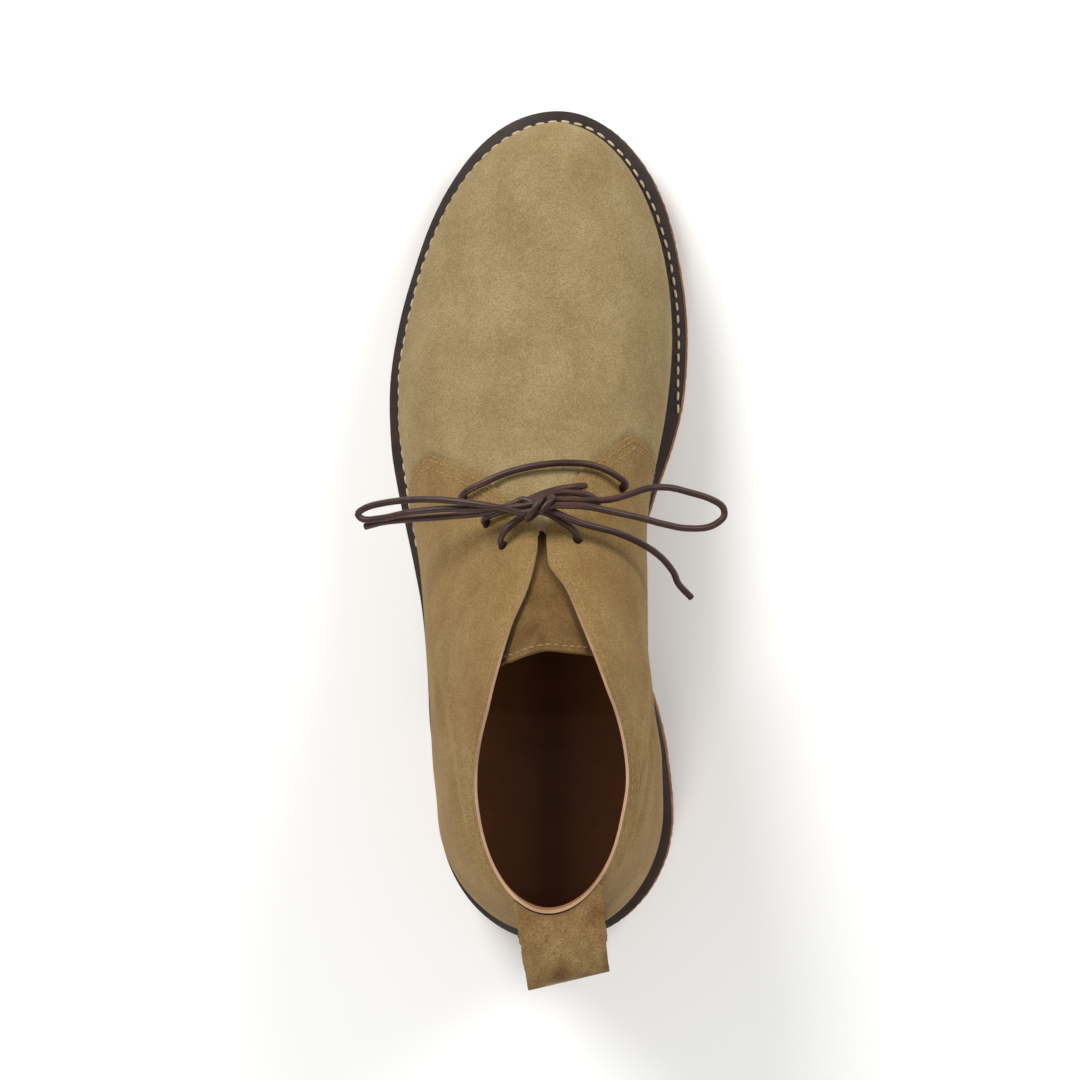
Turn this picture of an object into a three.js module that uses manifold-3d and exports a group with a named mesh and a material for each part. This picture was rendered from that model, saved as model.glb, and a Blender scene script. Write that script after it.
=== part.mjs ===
// A left plain-toe chukka boot in suede, EU 42: upper, tongue and pull loop over a welted crepe sole,
// closed with a waxed cord that is tied in a bow. Millimetres, +X to the inner (medial) side, +Y to
// the toe, +Z up. The origin is on the floor, at the middle of the heel's tread.
import * as THREE from "three";
import { mergeVertices } from "three/addons/utils/BufferGeometryUtils.js";
import Module from "manifold-3d";

const wasm = await Module();
wasm.setup();

// ---- Driving dimensions ----

const SOLE_BACK = -1; // the sole runs from this station
const SOLE_TOE = 301; // to this one
const HEEL_CENTRE = 40; // stations "along" start at the back of the heel; the origin is this far on
const HEEL_BREAST = 78; // where the heel block ends
const SOLE_TOE_OFFSET = 1.5; // the sole's centre line leans this far to the medial side at the toe

const MIDSOLE = 2.4; // thickness of the leather layer under the welt
const WELT = 2.2;
const INSOLE_RISE = 2.2; // the insole's top above the welt
const GAP = 0.3; // between pieces that touch

const WALL = 2.0; // suede and lining of the upper
const TONGUE_WALL = 2.0;
const STRAP_WALL = 1.8; // pull loop, two layers of suede
const STRAP_WIDTH = 27.5;

const CREPE_FLARE = 0.6; // the crepe stands out past the welt all round
const CREPE_MEDIAL_FLARE = 0.8; // and this much more on the medial side
const MIDSOLE_FLARE = 0.7; // the midsole's edge stands out past the welt
const WELT_TUCK = 9; // the welt runs this far in under the upper

const LAST_TOE = 296; // the upper's foremost station
const THROAT_TOP = 104; // where the line of the instep reaches the topline's height
const BACK_TOP = 14.6; // station of the topline at the back seam
const HEEL_ROUND = 45; // length over which the heel's plan rounds off
const TOE_ROUND = 96; // and the toe's
const TOE_DROP = 15; // the toe box's front falls by this much, as a quarter round
const TOE_DROP_LENGTH = 34; // over this length
const BELLY_LEVEL = 0.45; // where between feather line and rim the belly widths are measured

const LACE = 2.4; // diameter of the waxed cord
const LACE_SIDES = 8;
const LACE_HOLE = 4.4;

const RING_POINTS = 32; // points on each half of a ring round the upper or the sole
const UPPER_RINGS = 18; // rings from the feather line to the topline

// ---- Tables: a row for each section ----

const table = (columns, rows) =>
  rows.map((row) => Object.fromEntries(columns.map((name, i) => [name, row[i]])));

// The welt's outline each side of the centre line, before heel and toe are rounded off, the height
// of the feather line where the upper meets the welt, and the height of the tread.
const SOLE = table(
  ["along", "lateral", "medial", "feather", "tread"],
  [
    [-1, 40.2, 42.9, 30.0, 17.5],
    [45, 40.9, 42.2, 30.0, 17.5],
    [65, 43.0, 40.3, 29.8, 17.5],
    [79, 44.6, 37.6, 28.6, 17.5],
    [90, 45.3, 34.3, 26.0, 14.2],
    [105, 46.5, 29.2, 22.4, 10.2],
    [120, 48.3, 27.1, 19.3, 6.4],
    [135, 51.3, 28.5, 16.6, 2.9],
    [150, 54.7, 31.8, 14.6, 0.4],
    [162, 57.4, 35.5, 13.4, 0],
    [180, 60.3, 41.7, 12.8, 0],
    [195, 61.0, 45.2, 12.6, 0],
    [225, 59.2, 48.0, 13.0, 0],
    [250, 57.7, 49.5, 14.6, 1.3],
    [275, 57.7, 52.1, 17.9, 4.3],
    [301, 59.6, 54.0, 22.8, 9.3],
  ],
);

// The upper each side of X = 0, before heel and toe are rounded off: at the feather line, at the
// belly, and at the rim. Then the instep's centre line, its height, and how full the section is on
// each side, where 2 is an ellipse. Behind the throat the instep's height is above the open collar.
const UPPER = table(
  [
    "along", "footLateral", "footMedial", "bellyLateral", "bellyMedial",
    "rimLateral", "rimMedial", "crestX", "crest", "fullLateral", "fullMedial",
  ],
  [
    [0, 37.6, 38.8, 39.6, 38.6, 25.0, 29.0, 1.0, 300, 2.4, 2.4],
    [45, 38.2, 38.6, 39.8, 39.4, 26.0, 30.0, 2.0, 245, 2.4, 2.4],
    [65, 40.2, 36.6, 41.4, 39.8, 27.0, 32.0, 2.3, 210, 2.4, 2.4],
    [85, 41.4, 31.5, 42.4, 37.8, 26.4, 32.0, 2.2, 169, 2.4, 2.4],
    [105, 42.6, 25.6, 45.4, 37.2, 30.0, 33.5, 2.0, 137, 2.2, 2.3],
    [125, 44.8, 23.5, 48.6, 37.0, 39.5, 37.0, 0.0, 113, 2.0, 2.4],
    [145, 47.8, 26.5, 51.6, 36.3, 47.0, 37.0, -1.8, 95, 1.9, 2.6],
    [160, 51.0, 30.6, 54.6, 36.9, 53.5, 37.5, -2.0, 84.5, 1.95, 2.6],
    [175, 53.5, 35.4, 57.0, 40.2, 56.0, 40.5, -1.5, 75.5, 2.05, 2.5],
    [190, 55.0, 39.2, 58.6, 43.0, 57.5, 43.0, -0.8, 68.4, 2.15, 2.4],
    [205, 55.0, 41.4, 58.4, 44.8, 57.8, 44.5, -0.4, 62.6, 2.25, 2.35],
    [220, 53.8, 43.0, 57.2, 46.2, 56.5, 45.5, 0.0, 58, 2.3, 2.35],
    [250, 52.4, 44.8, 55.6, 48.2, 55.5, 47.5, 0.7, 51.2, 2.35, 2.35],
    [275, 51.6, 45.6, 55.2, 49.4, 55.0, 48.5, 1.2, 46.8, 2.4, 2.4],
    [300, 51.6, 46.0, 55.2, 49.8, 55.0, 49.0, 1.6, 43.8, 2.4, 2.4],
  ],
);

// The back seam from the side.
const BACK = table(
  ["height", "along"],
  [
    [30, 4.8],
    [50, 2.6],
    [80, 6.0],
    [100, 10.0],
    [122.5, BACK_TOP],
  ],
);

// The topline from the side, from the back seam to the throat.
const TOPLINE = table(
  ["along", "height"],
  [
    [14, 122.5],
    [35, 120.5],
    [62, 121.5],
    [80, 127],
    [92, 131.5],
    [104, 138.3],
  ],
);

// The facings' edges, seen from above: the throat opens between them.
const THROAT = table(
  ["along", "lateral", "medial"],
  [
    [84, -20.4, 25.8],
    [92, -18.5, 22.9],
    [103, -15.4, 18.6],
    [115, -11.6, 13.0],
    [127, -6.3, 7.1],
    [136, -3.9, 0.6],
    [142, -3.1, 0.2],
    [147, -3.3, 0.2],
  ],
);

// The lace holes, seen from above.
const HOLES = table(
  ["lateralX", "lateralAlong", "medialX", "medialAlong"],
  [
    [-29.9, 157.9, 25.9, 161.5],
    [-21.3, 149.0, 16.8, 155.0],
    [-15.2, 141.0, 10.6, 142.8],
  ],
);

// The tongue: how far it lies inside the upper's outer face, and its reach each side of X = 0.
const TONGUE = table(
  ["along", "depth", "lateral", "medial"],
  [
    [95, 4.6, 20, 23],
    [110, 4.3, 21, 23.5],
    [125, 3.5, 21, 20],
    [140, 3.2, 21, 17],
    [155, 3.2, 21, 17],
    [172, 3.2, 22, 18],
  ],
);
const TONGUE_FRONT = 172; // where the tongue starts under the vamp

// The tongue's curved top edge, seen from above.
const TONGUE_TOP = table(
  ["x", "along"],
  [
    [-23, 98.9],
    [-14, 104.2],
    [-6, 107],
    [3.4, 108.2],
    [10, 107.8],
    [18, 106.3],
    [24, 104.5],
  ],
);

// The pull loop's middle line from the side, and how far it follows the heel's curve round.
const STRAP = table(
  ["along", "height", "wrap"],
  [
    [11.6, 116, 1],
    [11.9, 121, 1],
    [9.4, 124.8, 0.9],
    [2.6, 125.0, 0.35],
    [-4.4, 121.5, 0.1],
    [-7.2, 113.5, 0],
    [-6.6, 104, 0.1],
    [-2.8, 94, 0.4],
    [1.7, 84.5, 0.9],
    [3.0, 77, 1],
    [1.8, 68, 1],
    [0.7, 60, 1],
  ],
);
const STRAP_TOP_X = 4.6; // the strap leaves the collar here
const STRAP_SKEW = 3.7; // its fold lies this much farther to the medial side
const STRAP_TURN = 0.24; // and the fold's medial end is this much forward for its width

// The cord, as its routes' points in X, Y, Z. The bar lies across the vamp between the first holes.
const LACE_BAR = [
  [-29.1, 117.6, 73.1], [-30.8, 118.5, 75.8], [-28.8, 120.4, 78.2], [-24.4, 122.6, 80.0],
  [-14.4, 126.9, 81.6], [-3.8, 129.4, 82.3], [6.6, 130.3, 81.6], [15.4, 129.6, 80.0],
  [22.6, 126.8, 78.0], [27.2, 123.4, 75.3], [27.1, 122.1, 72.9], [25.0, 121.2, 70.8],
];
// From each second hole a strand crosses in front of the facings and goes under the other one.
const LACE_CROSSING = [
  [
    [-20.7, 108.5, 83.7], [-22.3, 109.9, 86.2], [-20.3, 111.6, 88.4], [-12.2, 114.3, 90.1],
    [-4.0, 118.3, 89.8], [3.0, 120.7, 87.9], [9.5, 121.8, 84.9],
  ],
  [
    [16.3, 114.4, 82.8], [17.6, 116.0, 85.2], [15.2, 118.4, 87.2], [9.2, 119.6, 88.4],
    [2.4, 119.3, 89.8], [-4.0, 117.0, 91.5], [-7.5, 115.2, 92.0],
  ],
];
// From the last holes the cord rises under the knot.
const LACE_RISERS = [
  [-14.7, 100.4, 92.9], [-16.0, 102.0, 95.4], [-15.2, 105.2, 97.2], [-10.5, 109.6, 97.6],
  [-5.5, 112.3, 97.4], [-2.2, 112.9, 97.3], [1.4, 111.7, 97.5], [5.2, 109.3, 98.0],
  [9.3, 106.6, 97.9], [11.0, 104.0, 96.6], [10.3, 102.1, 94.3],
];
const KNOT = { centre: [-2.6, 113.9, 102.1], radii: [5.2, 4.4, 3.0] };
const LACE_LOOPS = {
  lateral: [
    [-8.6, 112.2, 102.6], [-18.9, 114.5, 102.0], [-31.3, 116.4, 98.9], [-43.9, 117.2, 94.2],
    [-56.6, 116.2, 88.6], [-64.0, 114.4, 85.0], [-66.6, 112.4, 83.8], [-64.9, 110.6, 84.2],
    [-56.8, 111.0, 87.6], [-48.9, 112.6, 91.2], [-36.4, 113.8, 95.0], [-26.4, 114.0, 97.2],
    [-16.0, 114.0, 99.0], [-8.4, 114.6, 100.0],
  ],
  medial: [
    [3.4, 114.8, 103.2], [13.8, 114.4, 102.6], [24.6, 112.3, 99.9], [32.2, 110.7, 97.4],
    [40.7, 108.5, 94.0], [48.9, 107.1, 90.6], [57.1, 107.9, 87.6], [61.6, 111.4, 86.2],
    [61.2, 114.6, 86.4], [57.1, 117.3, 88.2], [48.9, 119.8, 91.6], [42.4, 121.2, 94.0],
    [35.3, 120.9, 95.9], [28.9, 118.8, 97.0], [22.2, 117.0, 97.8], [14.0, 116.6, 98.8],
    [3.6, 116.8, 100.2],
  ],
};
const LACE_ENDS = {
  lateral: [
    [-8.2, 117.0, 97.4], [-18.9, 113.0, 94.8], [-33.8, 111.4, 91.0], [-48.7, 110.4, 86.7],
    [-57.4, 109.6, 84.0], [-64.3, 108.0, 81.8],
  ],
  medial: [
    [3.2, 112.4, 101.2], [11.5, 108.9, 100.0], [24.6, 105.4, 95.4], [33.2, 101.6, 90.4],
    [39.6, 97.2, 85.0], [44.0, 91.9, 79.6], [45.8, 87.9, 76.0], [50.2, 83.2, 71.6],
  ],
};

const MATERIALS = {
  crepe: { color: "#9a5a22", roughness: 0.75 },
  edge: { color: "#3a2a22", roughness: 0.55 },
  suede: { color: "#a38a60", roughness: 0.95 },
  lining: { color: "#a07c5c", roughness: 0.8 },
  cord: { color: "#3f2d28", roughness: 0.5 },
};

// ---- Curves ----

// A smooth curve through a table's column. It never overshoots, so a level stretch stays level.
function column(rows, name, by = "along") {
  const x = rows.map((row) => row[by]);
  const y = rows.map((row) => row[name]);
  const rise = x.slice(1).map((next, i) => (y[i + 1] - y[i]) / (next - x[i]));
  const slope = x.map((_, i) => {
    if (i === 0) return rise[0];
    if (i === x.length - 1) return rise[i - 1];
    const [before, after] = [rise[i - 1], rise[i]];
    return before * after <= 0 ? 0 : (2 * before * after) / (before + after);
  });
  return (at) => {
    const inside = THREE.MathUtils.clamp(at, x[0], x[x.length - 1]);
    const i = Math.max(0, x.findLastIndex((start, k) => start <= inside && k < x.length - 1));
    const span = x[i + 1] - x[i];
    const u = (inside - x[i]) / span;
    const ease = u * u * (3 - 2 * u);
    return (
      y[i] * (1 - ease) +
      y[i + 1] * ease +
      span * (slope[i] * u * (1 - u) ** 2 - slope[i + 1] * u * u * (1 - u))
    );
  };
}

const columns = (rows, by = "along") =>
  Object.fromEntries(Object.keys(rows[0]).map((name) => [name, column(rows, name, by)]));

const sole = columns(SOLE);
const upper = columns(UPPER);
const back = column(BACK, "along", "height");
const topline = column(TOPLINE, "height");
const throat = columns(THROAT);
const tongue = columns(TONGUE);
const tongueTop = column(TONGUE_TOP, "along", "x");

// From 0 at the end of a rounded stretch to 1 where it meets the straight one.
const roundOff = (into) => Math.sqrt(Math.max(0, 1 - Math.max(0, into) ** 2));

// ---- The upper's shape ----

const crest = (along) => {
  const into = (along - (LAST_TOE - TOE_DROP_LENGTH)) / TOE_DROP_LENGTH;
  return upper.crest(along) - TOE_DROP * (1 - roundOff(into));
};

const footHeight = (along) => sole.feather(along) + GAP;

const rimHeight = (along) =>
  along < THROAT_TOP ? Math.min(topline(along), crest(along)) : crest(along);

// Where the upper's outer face is at a station and height. side is 1 for medial, -1 for lateral.
function upperX(along, height, side) {
  const name = side > 0 ? "Medial" : "Lateral";
  const foot = footHeight(along);
  const level = (height - foot) / (rimHeight(along) - foot);
  const [low, middle, high] = ["foot", "belly", "rim"].map((k) => upper[k + name](along));
  const b = BELLY_LEVEL;
  const reach =
    (low * (level - b) * (level - 1)) / b +
    (middle * level * (level - 1)) / (b * (b - 1)) +
    (high * level * (level - b)) / (1 - b);
  const rise = THREE.MathUtils.clamp((height - foot) / (crest(along) - foot), 0, 1);
  const full = upper["full" + name](along);
  const section = (1 - rise ** full) ** (1 / full);
  const heel = roundOff(1 - (along - back(height)) / HEEL_ROUND);
  const toe = roundOff((along - (LAST_TOE - TOE_ROUND)) / TOE_ROUND);
  const centre = upper.crestX(along);
  return centre + side * (reach - side * centre) * section * heel * toe;
}

// The front edge of the side view: up the toe's front, then along the instep to the throat.
function instepLine() {
  const points = [new THREE.Vector2(LAST_TOE, footHeight(LAST_TOE))];
  const steps = 120;
  for (let i = 0; i <= steps; i++) {
    const u = i / steps;
    const along = LAST_TOE - (LAST_TOE - THROAT_TOP) * u ** 1.6;
    points.push(new THREE.Vector2(along, crest(along)));
  }
  const length = [0];
  for (let i = 1; i < points.length; i++)
    length.push(length[i - 1] + points[i].distanceTo(points[i - 1]));
  return (share) => {
    const want = share * length[length.length - 1];
    const i = Math.min(points.length - 2, length.findLastIndex((l) => l <= want));
    const u = (want - length[i]) / (length[i + 1] - length[i]);
    return points[i].clone().lerp(points[i + 1], u);
  };
}
const instep = instepLine();

// The side view's point at a share round the ring (0 at the back, 1 at the instep) and a share up
// from the feather line to the rim: a patch between its four edges.
function sideView(round, up) {
  const at = (along, height) => new THREE.Vector2(along, height);
  const mix = THREE.MathUtils.lerp;
  const bottom = (u) => {
    const along = mix(back(footHeight(0)), LAST_TOE, u);
    return at(along, footHeight(along));
  };
  const top = (u) => {
    const along = mix(BACK_TOP, THROAT_TOP, u);
    return at(along, rimHeight(along));
  };
  const behind = (v) => {
    const height = mix(footHeight(0), topline(BACK_TOP), v);
    return at(back(height), height);
  };
  const front = (v) => instep(v ** 1.5);
  const corners = bottom(0).lerp(bottom(1), round).lerp(top(0).lerp(top(1), round), up);
  return bottom(round)
    .lerp(top(round), up)
    .add(behind(up).lerp(front(up), round))
    .sub(corners);
}

// One ring round the upper: from the back along the medial side to the toe, and back.
function upperRing(up) {
  const ring = [];
  for (const side of [1, -1]) {
    for (let i = 0; i < RING_POINTS; i++) {
      const step = side > 0 ? i : RING_POINTS - i;
      const round = (1 - Math.cos((Math.PI * step) / RING_POINTS)) / 2;
      const { x: along, y: height } = sideView(round, up);
      const onLine = step === 0 || step === RING_POINTS;
      const x = onLine ? upper.crestX(along) : upperX(along, height, side);
      ring.push(new THREE.Vector3(x, along - HEEL_CENTRE, height));
    }
  }
  return ring;
}

// The outer face's height over a point of the plan.
function upperHeight(x, along) {
  const side = x > upper.crestX(along) ? 1 : -1;
  let low = THREE.MathUtils.lerp(footHeight(along), crest(along), 0.35);
  let high = crest(along);
  for (let i = 0; i < 40; i++) {
    const middle = (low + high) / 2;
    if ((upperX(along, middle, side) - x) * side > 0) low = middle;
    else high = middle;
  }
  return low;
}

// A point of the outer face over the plan, and the way out of it.
function upperFace(x, along) {
  const step = 0.5;
  const slopeX = (upperHeight(x + step, along) - upperHeight(x - step, along)) / (2 * step);
  const slopeY = (upperHeight(x, along + step) - upperHeight(x, along - step)) / (2 * step);
  return {
    point: new THREE.Vector3(x, along - HEEL_CENTRE, upperHeight(x, along)),
    out: new THREE.Vector3(-slopeX, -slopeY, 1).normalize(),
  };
}

// ---- Meshes ----

function geometryOf(points, triangles) {
  const geometry = new THREE.BufferGeometry().setFromPoints(points);
  geometry.setIndex(triangles);
  return geometry;
}

// Triangles between one ring and the next above it.
function band(triangles, from, to, count) {
  for (let i = 0; i < count; i++) {
    const j = (i + 1) % count;
    triangles.push(from + i, from + j, to + j);
    triangles.push(from + i, to + j, to + i);
  }
}

// A ring-shaped solid: the last ring joins the first.
function hoop(rings) {
  const count = rings[0].length;
  const triangles = [];
  rings.forEach((_, k) => band(triangles, k * count, ((k + 1) % rings.length) * count, count));
  return geometryOf(rings.flat(), triangles);
}

// A closed solid between rings: its two ends are covered from side to side.
function slab(rings) {
  const count = rings[0].length;
  const triangles = [];
  for (let k = 0; k + 1 < rings.length; k++) band(triangles, k * count, (k + 1) * count, count);
  const last = (rings.length - 1) * count;
  for (let i = 0; i < count / 2; i++) {
    const [a, b] = [i, i + 1];
    const [d, c] = [(count - i) % count, count - i - 1];
    for (const [p, q, r] of [[a, b, c], [a, c, d]]) {
      if (p === q || q === r || p === r) continue;
      triangles.push(p, r, q);
      triangles.push(last + p, last + q, last + r);
    }
  }
  return geometryOf(rings.flat(), triangles);
}

// A sheet with thickness, from a grid of points: its two faces lie at two depths under the grid.
function sheet(grid, outer, inner) {
  const across = grid[0].length;
  const faces = [];
  for (let i = 0; i + 1 < grid.length; i++) {
    for (let j = 0; j + 1 < across; j++) {
      const [a, b] = [i * across + j, i * across + j + 1];
      faces.push(a, b, b + across, a, b + across, a + across);
    }
  }
  const flat = geometryOf(grid.flat(), faces);
  flat.computeVertexNormals();
  const normal = flat.getAttribute("normal");
  const sunk = (depth) =>
    grid.flat().map((point, i) => {
      const out = new THREE.Vector3().fromBufferAttribute(normal, i);
      return point.clone().addScaledVector(out, -depth(point));
    });
  const total = grid.length * across;
  const under = [];
  for (let k = 0; k < faces.length; k += 3)
    under.push(faces[k] + total, faces[k + 2] + total, faces[k + 1] + total);
  const rows = grid.length;
  const edge = [
    ...Array.from({ length: across - 1 }, (_, j) => j),
    ...Array.from({ length: rows - 1 }, (_, i) => i * across + across - 1),
    ...Array.from({ length: across - 1 }, (_, j) => total - 1 - j),
    ...Array.from({ length: rows - 1 }, (_, i) => (rows - 1 - i) * across),
  ];
  const sides = [];
  edge.forEach((a, k) => {
    const b = edge[(k + 1) % edge.length];
    sides.push(a, a + total, b + total, a, b + total, b);
  });
  return geometryOf([...sunk(outer), ...sunk(inner)], [...faces, ...under, ...sides]);
}

function solidOf(geometry) {
  const bare = geometry.clone();
  bare.deleteAttribute("normal");
  bare.deleteAttribute("uv");
  const merged = mergeVertices(bare, 1e-4);
  return new wasm.Manifold(
    new wasm.Mesh({
      numProp: 3,
      vertProperties: new Float32Array(merged.getAttribute("position").array),
      triVerts: new Uint32Array(merged.index.array),
    }),
  );
}

function geometryFrom(solid) {
  const mesh = solid.getMesh();
  const geometry = new THREE.BufferGeometry();
  geometry.setAttribute("position", new THREE.BufferAttribute(mesh.vertProperties, 3));
  geometry.setIndex(new THREE.BufferAttribute(mesh.triVerts, 1));
  return geometry;
}

function meshOf(name, geometry, look) {
  geometry.computeVertexNormals();
  const mesh = new THREE.Mesh(geometry, new THREE.MeshStandardMaterial(MATERIALS[look]));
  mesh.name = name;
  return mesh;
}

// ---- The sole ----

// The welt's outline as a ring, moved out by a given amount at each point. The height is a function
// of the station.
function soleRing(heightAt, outward) {
  const middle = (SOLE_BACK + SOLE_TOE) / 2;
  const reach = (SOLE_TOE - SOLE_BACK) / 2;
  const plan = [];
  for (const side of [1, -1]) {
    for (let i = 0; i < RING_POINTS; i++) {
      const step = side > 0 ? i : RING_POINTS - i;
      const along = middle - reach * Math.cos((Math.PI * step) / RING_POINTS);
      const wide = side > 0 ? sole.medial(along) : sole.lateral(along);
      const heel = roundOff(1 - (along - SOLE_BACK) / (HEEL_ROUND - SOLE_BACK));
      const toe = roundOff(1 - (SOLE_TOE - along) / (SOLE_TOE - LAST_TOE + TOE_ROUND));
      const centre = (SOLE_TOE_OFFSET * along) / SOLE_TOE;
      plan.push(new THREE.Vector2(centre + side * wide * heel * toe, along));
    }
  }
  return movedOut(plan, outward).map(
    (p) => new THREE.Vector3(p.x, p.y - HEEL_CENTRE, heightAt(p.y)),
  );
}

// A plan outline, anticlockwise, with each point moved along its own way out.
function movedOut(plan, outward) {
  return plan.map((point, i) => {
    const before = plan[(i + plan.length - 1) % plan.length];
    const after = plan[(i + 1) % plan.length];
    const way = after.clone().sub(before).normalize();
    const out = new THREE.Vector2(way.y, -way.x);
    return point.clone().addScaledVector(out, outward(out));
  });
}

const crepeOut = (out) => CREPE_FLARE + CREPE_MEDIAL_FLARE * Math.max(0, out.x);
const weltTop = (along) => sole.feather(along);
const midsoleTop = (along) => weltTop(along) - WELT - GAP;
const crepeTop = (along) => midsoleTop(along) - MIDSOLE - GAP;

function outsole() {
  const bulge = 0.5; // the crepe's edge is slightly rounded
  return slab([
    soleRing((y) => sole.tread(y), (out) => crepeOut(out) - bulge),
    soleRing((y) => sole.tread(y) + 1.5, crepeOut),
    soleRing((y) => crepeTop(y) - 1.2, crepeOut),
    soleRing(crepeTop, (out) => crepeOut(out) - bulge),
  ]);
}

// The heel block: the sole's outline as far as the breast, which is cut straight across.
function heel() {
  const bulge = 0.5;
  const ring = (height, inward) => {
    const cut = [];
    const points = soleRing(() => height, (out) => crepeOut(out) - inward);
    const breast = HEEL_BREAST - HEEL_CENTRE;
    points.forEach((point, i) => {
      const next = points[(i + 1) % points.length];
      if (point.y <= breast) cut.push(point);
      if (point.y <= breast !== next.y <= breast) {
        const u = (breast - point.y) / (next.y - point.y);
        cut.push(point.clone().lerp(next, u));
      }
    });
    return cut;
  };
  const top = sole.tread(0) - GAP;
  return prism([ring(0, bulge), ring(1.5, 0), ring(top, 0)]);
}

// A closed solid between convex rings, each end covered from its middle.
function prism(rings) {
  const count = rings[0].length;
  const triangles = [];
  for (let k = 0; k + 1 < rings.length; k++) band(triangles, k * count, (k + 1) * count, count);
  const points = rings.flat();
  const middle = (ring) =>
    ring.reduce((sum, p) => sum.add(p), new THREE.Vector3()).divideScalar(ring.length);
  const last = (rings.length - 1) * count;
  points.push(middle(rings[0]), middle(rings[rings.length - 1]));
  for (let i = 0; i < count; i++) {
    const j = (i + 1) % count;
    triangles.push(points.length - 2, j, i);
    triangles.push(points.length - 1, last + i, last + j);
  }
  return geometryOf(points, triangles);
}

function midsole() {
  const out = () => MIDSOLE_FLARE;
  return slab([
    soleRing((y) => midsoleTop(y) - MIDSOLE, out),
    soleRing(midsoleTop, out),
  ]);
}

// The feather line's ring, moved in by an amount, at heights that follow the sole.
function featherRing(inward, heightAt) {
  const plan = upperRing(0).map((p) => new THREE.Vector2(p.x, p.y + HEEL_CENTRE));
  return movedOut(plan, () => -inward).map(
    (p) => new THREE.Vector3(p.x, p.y - HEEL_CENTRE, heightAt(p.y)),
  );
}

function welt() {
  const under = (y) => midsoleTop(y) + GAP;
  return hoop([
    soleRing(under, () => 0),
    soleRing(weltTop, () => 0),
    featherRing(WELT_TUCK, weltTop),
    featherRing(WELT_TUCK, under),
  ]);
}

// The insole fills the welt's ring, and lies over it up to the upper's inner face.
function insole() {
  const low = (y) => midsoleTop(y) + GAP;
  const shelf = (y) => weltTop(y) + GAP;
  const plug = WELT_TUCK + GAP;
  const reach = WALL + 2 * GAP;
  return slab([
    featherRing(plug, low),
    featherRing(plug, shelf),
    featherRing(reach, shelf),
    featherRing(reach, (y) => weltTop(y) + INSOLE_RISE),
  ]);
}

// ---- Upper, tongue and pull loop ----

function upperShell() {
  const outer = [];
  for (let k = 0; k <= UPPER_RINGS; k++) outer.push(upperRing(k / UPPER_RINGS));
  const count = outer[0].length;
  const faces = [];
  for (let k = 0; k < UPPER_RINGS; k++) band(faces, k * count, (k + 1) * count, count);
  const skin = geometryOf(outer.flat(), faces);
  skin.computeVertexNormals();
  const normal = skin.getAttribute("normal");
  const inner = outer.map((ring, k) =>
    ring.map((point, i) => {
      const out = new THREE.Vector3().fromBufferAttribute(normal, k * count + i);
      if (k === 0 || k === UPPER_RINGS) out.setZ(0).normalize();
      return point.clone().addScaledVector(out, -WALL);
    }),
  );
  return hoop([...outer, ...inner.reverse()]);
}

// The throat's opening, as a block that stands on its plan between the facings.
function throatBlock() {
  const plan = [
    ...THROAT.map((row) => new THREE.Vector2(row.lateral, row.along - HEEL_CENTRE)),
    ...THROAT.toReversed().map((row) => new THREE.Vector2(row.medial, row.along - HEEL_CENTRE)),
  ];
  const bottom = 60;
  const block = new THREE.ExtrudeGeometry(new THREE.Shape(plan), {
    depth: 110,
    bevelEnabled: false,
  });
  return solidOf(block.translate(0, 0, bottom));
}

function laceHole(x, along) {
  const { point, out } = upperFace(x, along);
  const punch = new THREE.CylinderGeometry(LACE_HOLE / 2, LACE_HOLE / 2, 16, 12);
  punch.applyQuaternion(
    new THREE.Quaternion().setFromUnitVectors(new THREE.Vector3(0, 1, 0), out),
  );
  return solidOf(punch.translate(point.x, point.y, point.z));
}

function upperPiece() {
  let solid = solidOf(upperShell()).subtract(throatBlock());
  for (const row of HOLES) {
    solid = solid.subtract(laceHole(row.lateralX, row.lateralAlong));
    solid = solid.subtract(laceHole(row.medialX, row.medialAlong));
  }
  return geometryFrom(solid);
}

function tonguePiece() {
  const rows = 12;
  const across = 12;
  const grid = [];
  for (let i = 0; i <= rows; i++) {
    const row = [];
    for (let j = 0; j <= across; j++) {
      const share = 1 - j / across;
      // Each line across the tongue is level in the plan at its front, and follows the top edge.
      const level = THREE.MathUtils.lerp(TONGUE_FRONT, TONGUE_TOP[3].along, i / rows);
      const x = THREE.MathUtils.lerp(-tongue.lateral(level), tongue.medial(level), share);
      const along = THREE.MathUtils.lerp(TONGUE_FRONT, tongueTop(x), i / rows);
      row.push(upperFace(x, along).point);
    }
    grid.push(row);
  }
  const depth = (point) => tongue.depth(point.y + HEEL_CENTRE);
  return sheet(grid, depth, (point) => depth(point) + TONGUE_WALL);
}

function pullLoop() {
  const line = new THREE.CatmullRomCurve3(
    STRAP.map((row) => new THREE.Vector3(row.wrap, row.along, row.height)),
  );
  const steps = 22;
  const across = 6;
  const grid = [];
  for (let i = 0; i <= steps; i++) {
    const { x: wrap, y: along, z: height } = line.getPoint(i / steps);
    const fold = 1 - wrap;
    const middle = STRAP_TOP_X + STRAP_SKEW * fold;
    const row = [];
    for (let j = 0; j <= across; j++) {
      const off = STRAP_WIDTH * (j / across - 0.5);
      const x = middle + off;
      const forward = wrap * heelCurve(x, height) + STRAP_TURN * fold * off;
      row.push(new THREE.Vector3(x, along + forward - HEEL_CENTRE, height));
    }
    grid.push(row);
  }
  return sheet(grid, () => -STRAP_WALL / 2, () => STRAP_WALL / 2);
}

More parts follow.
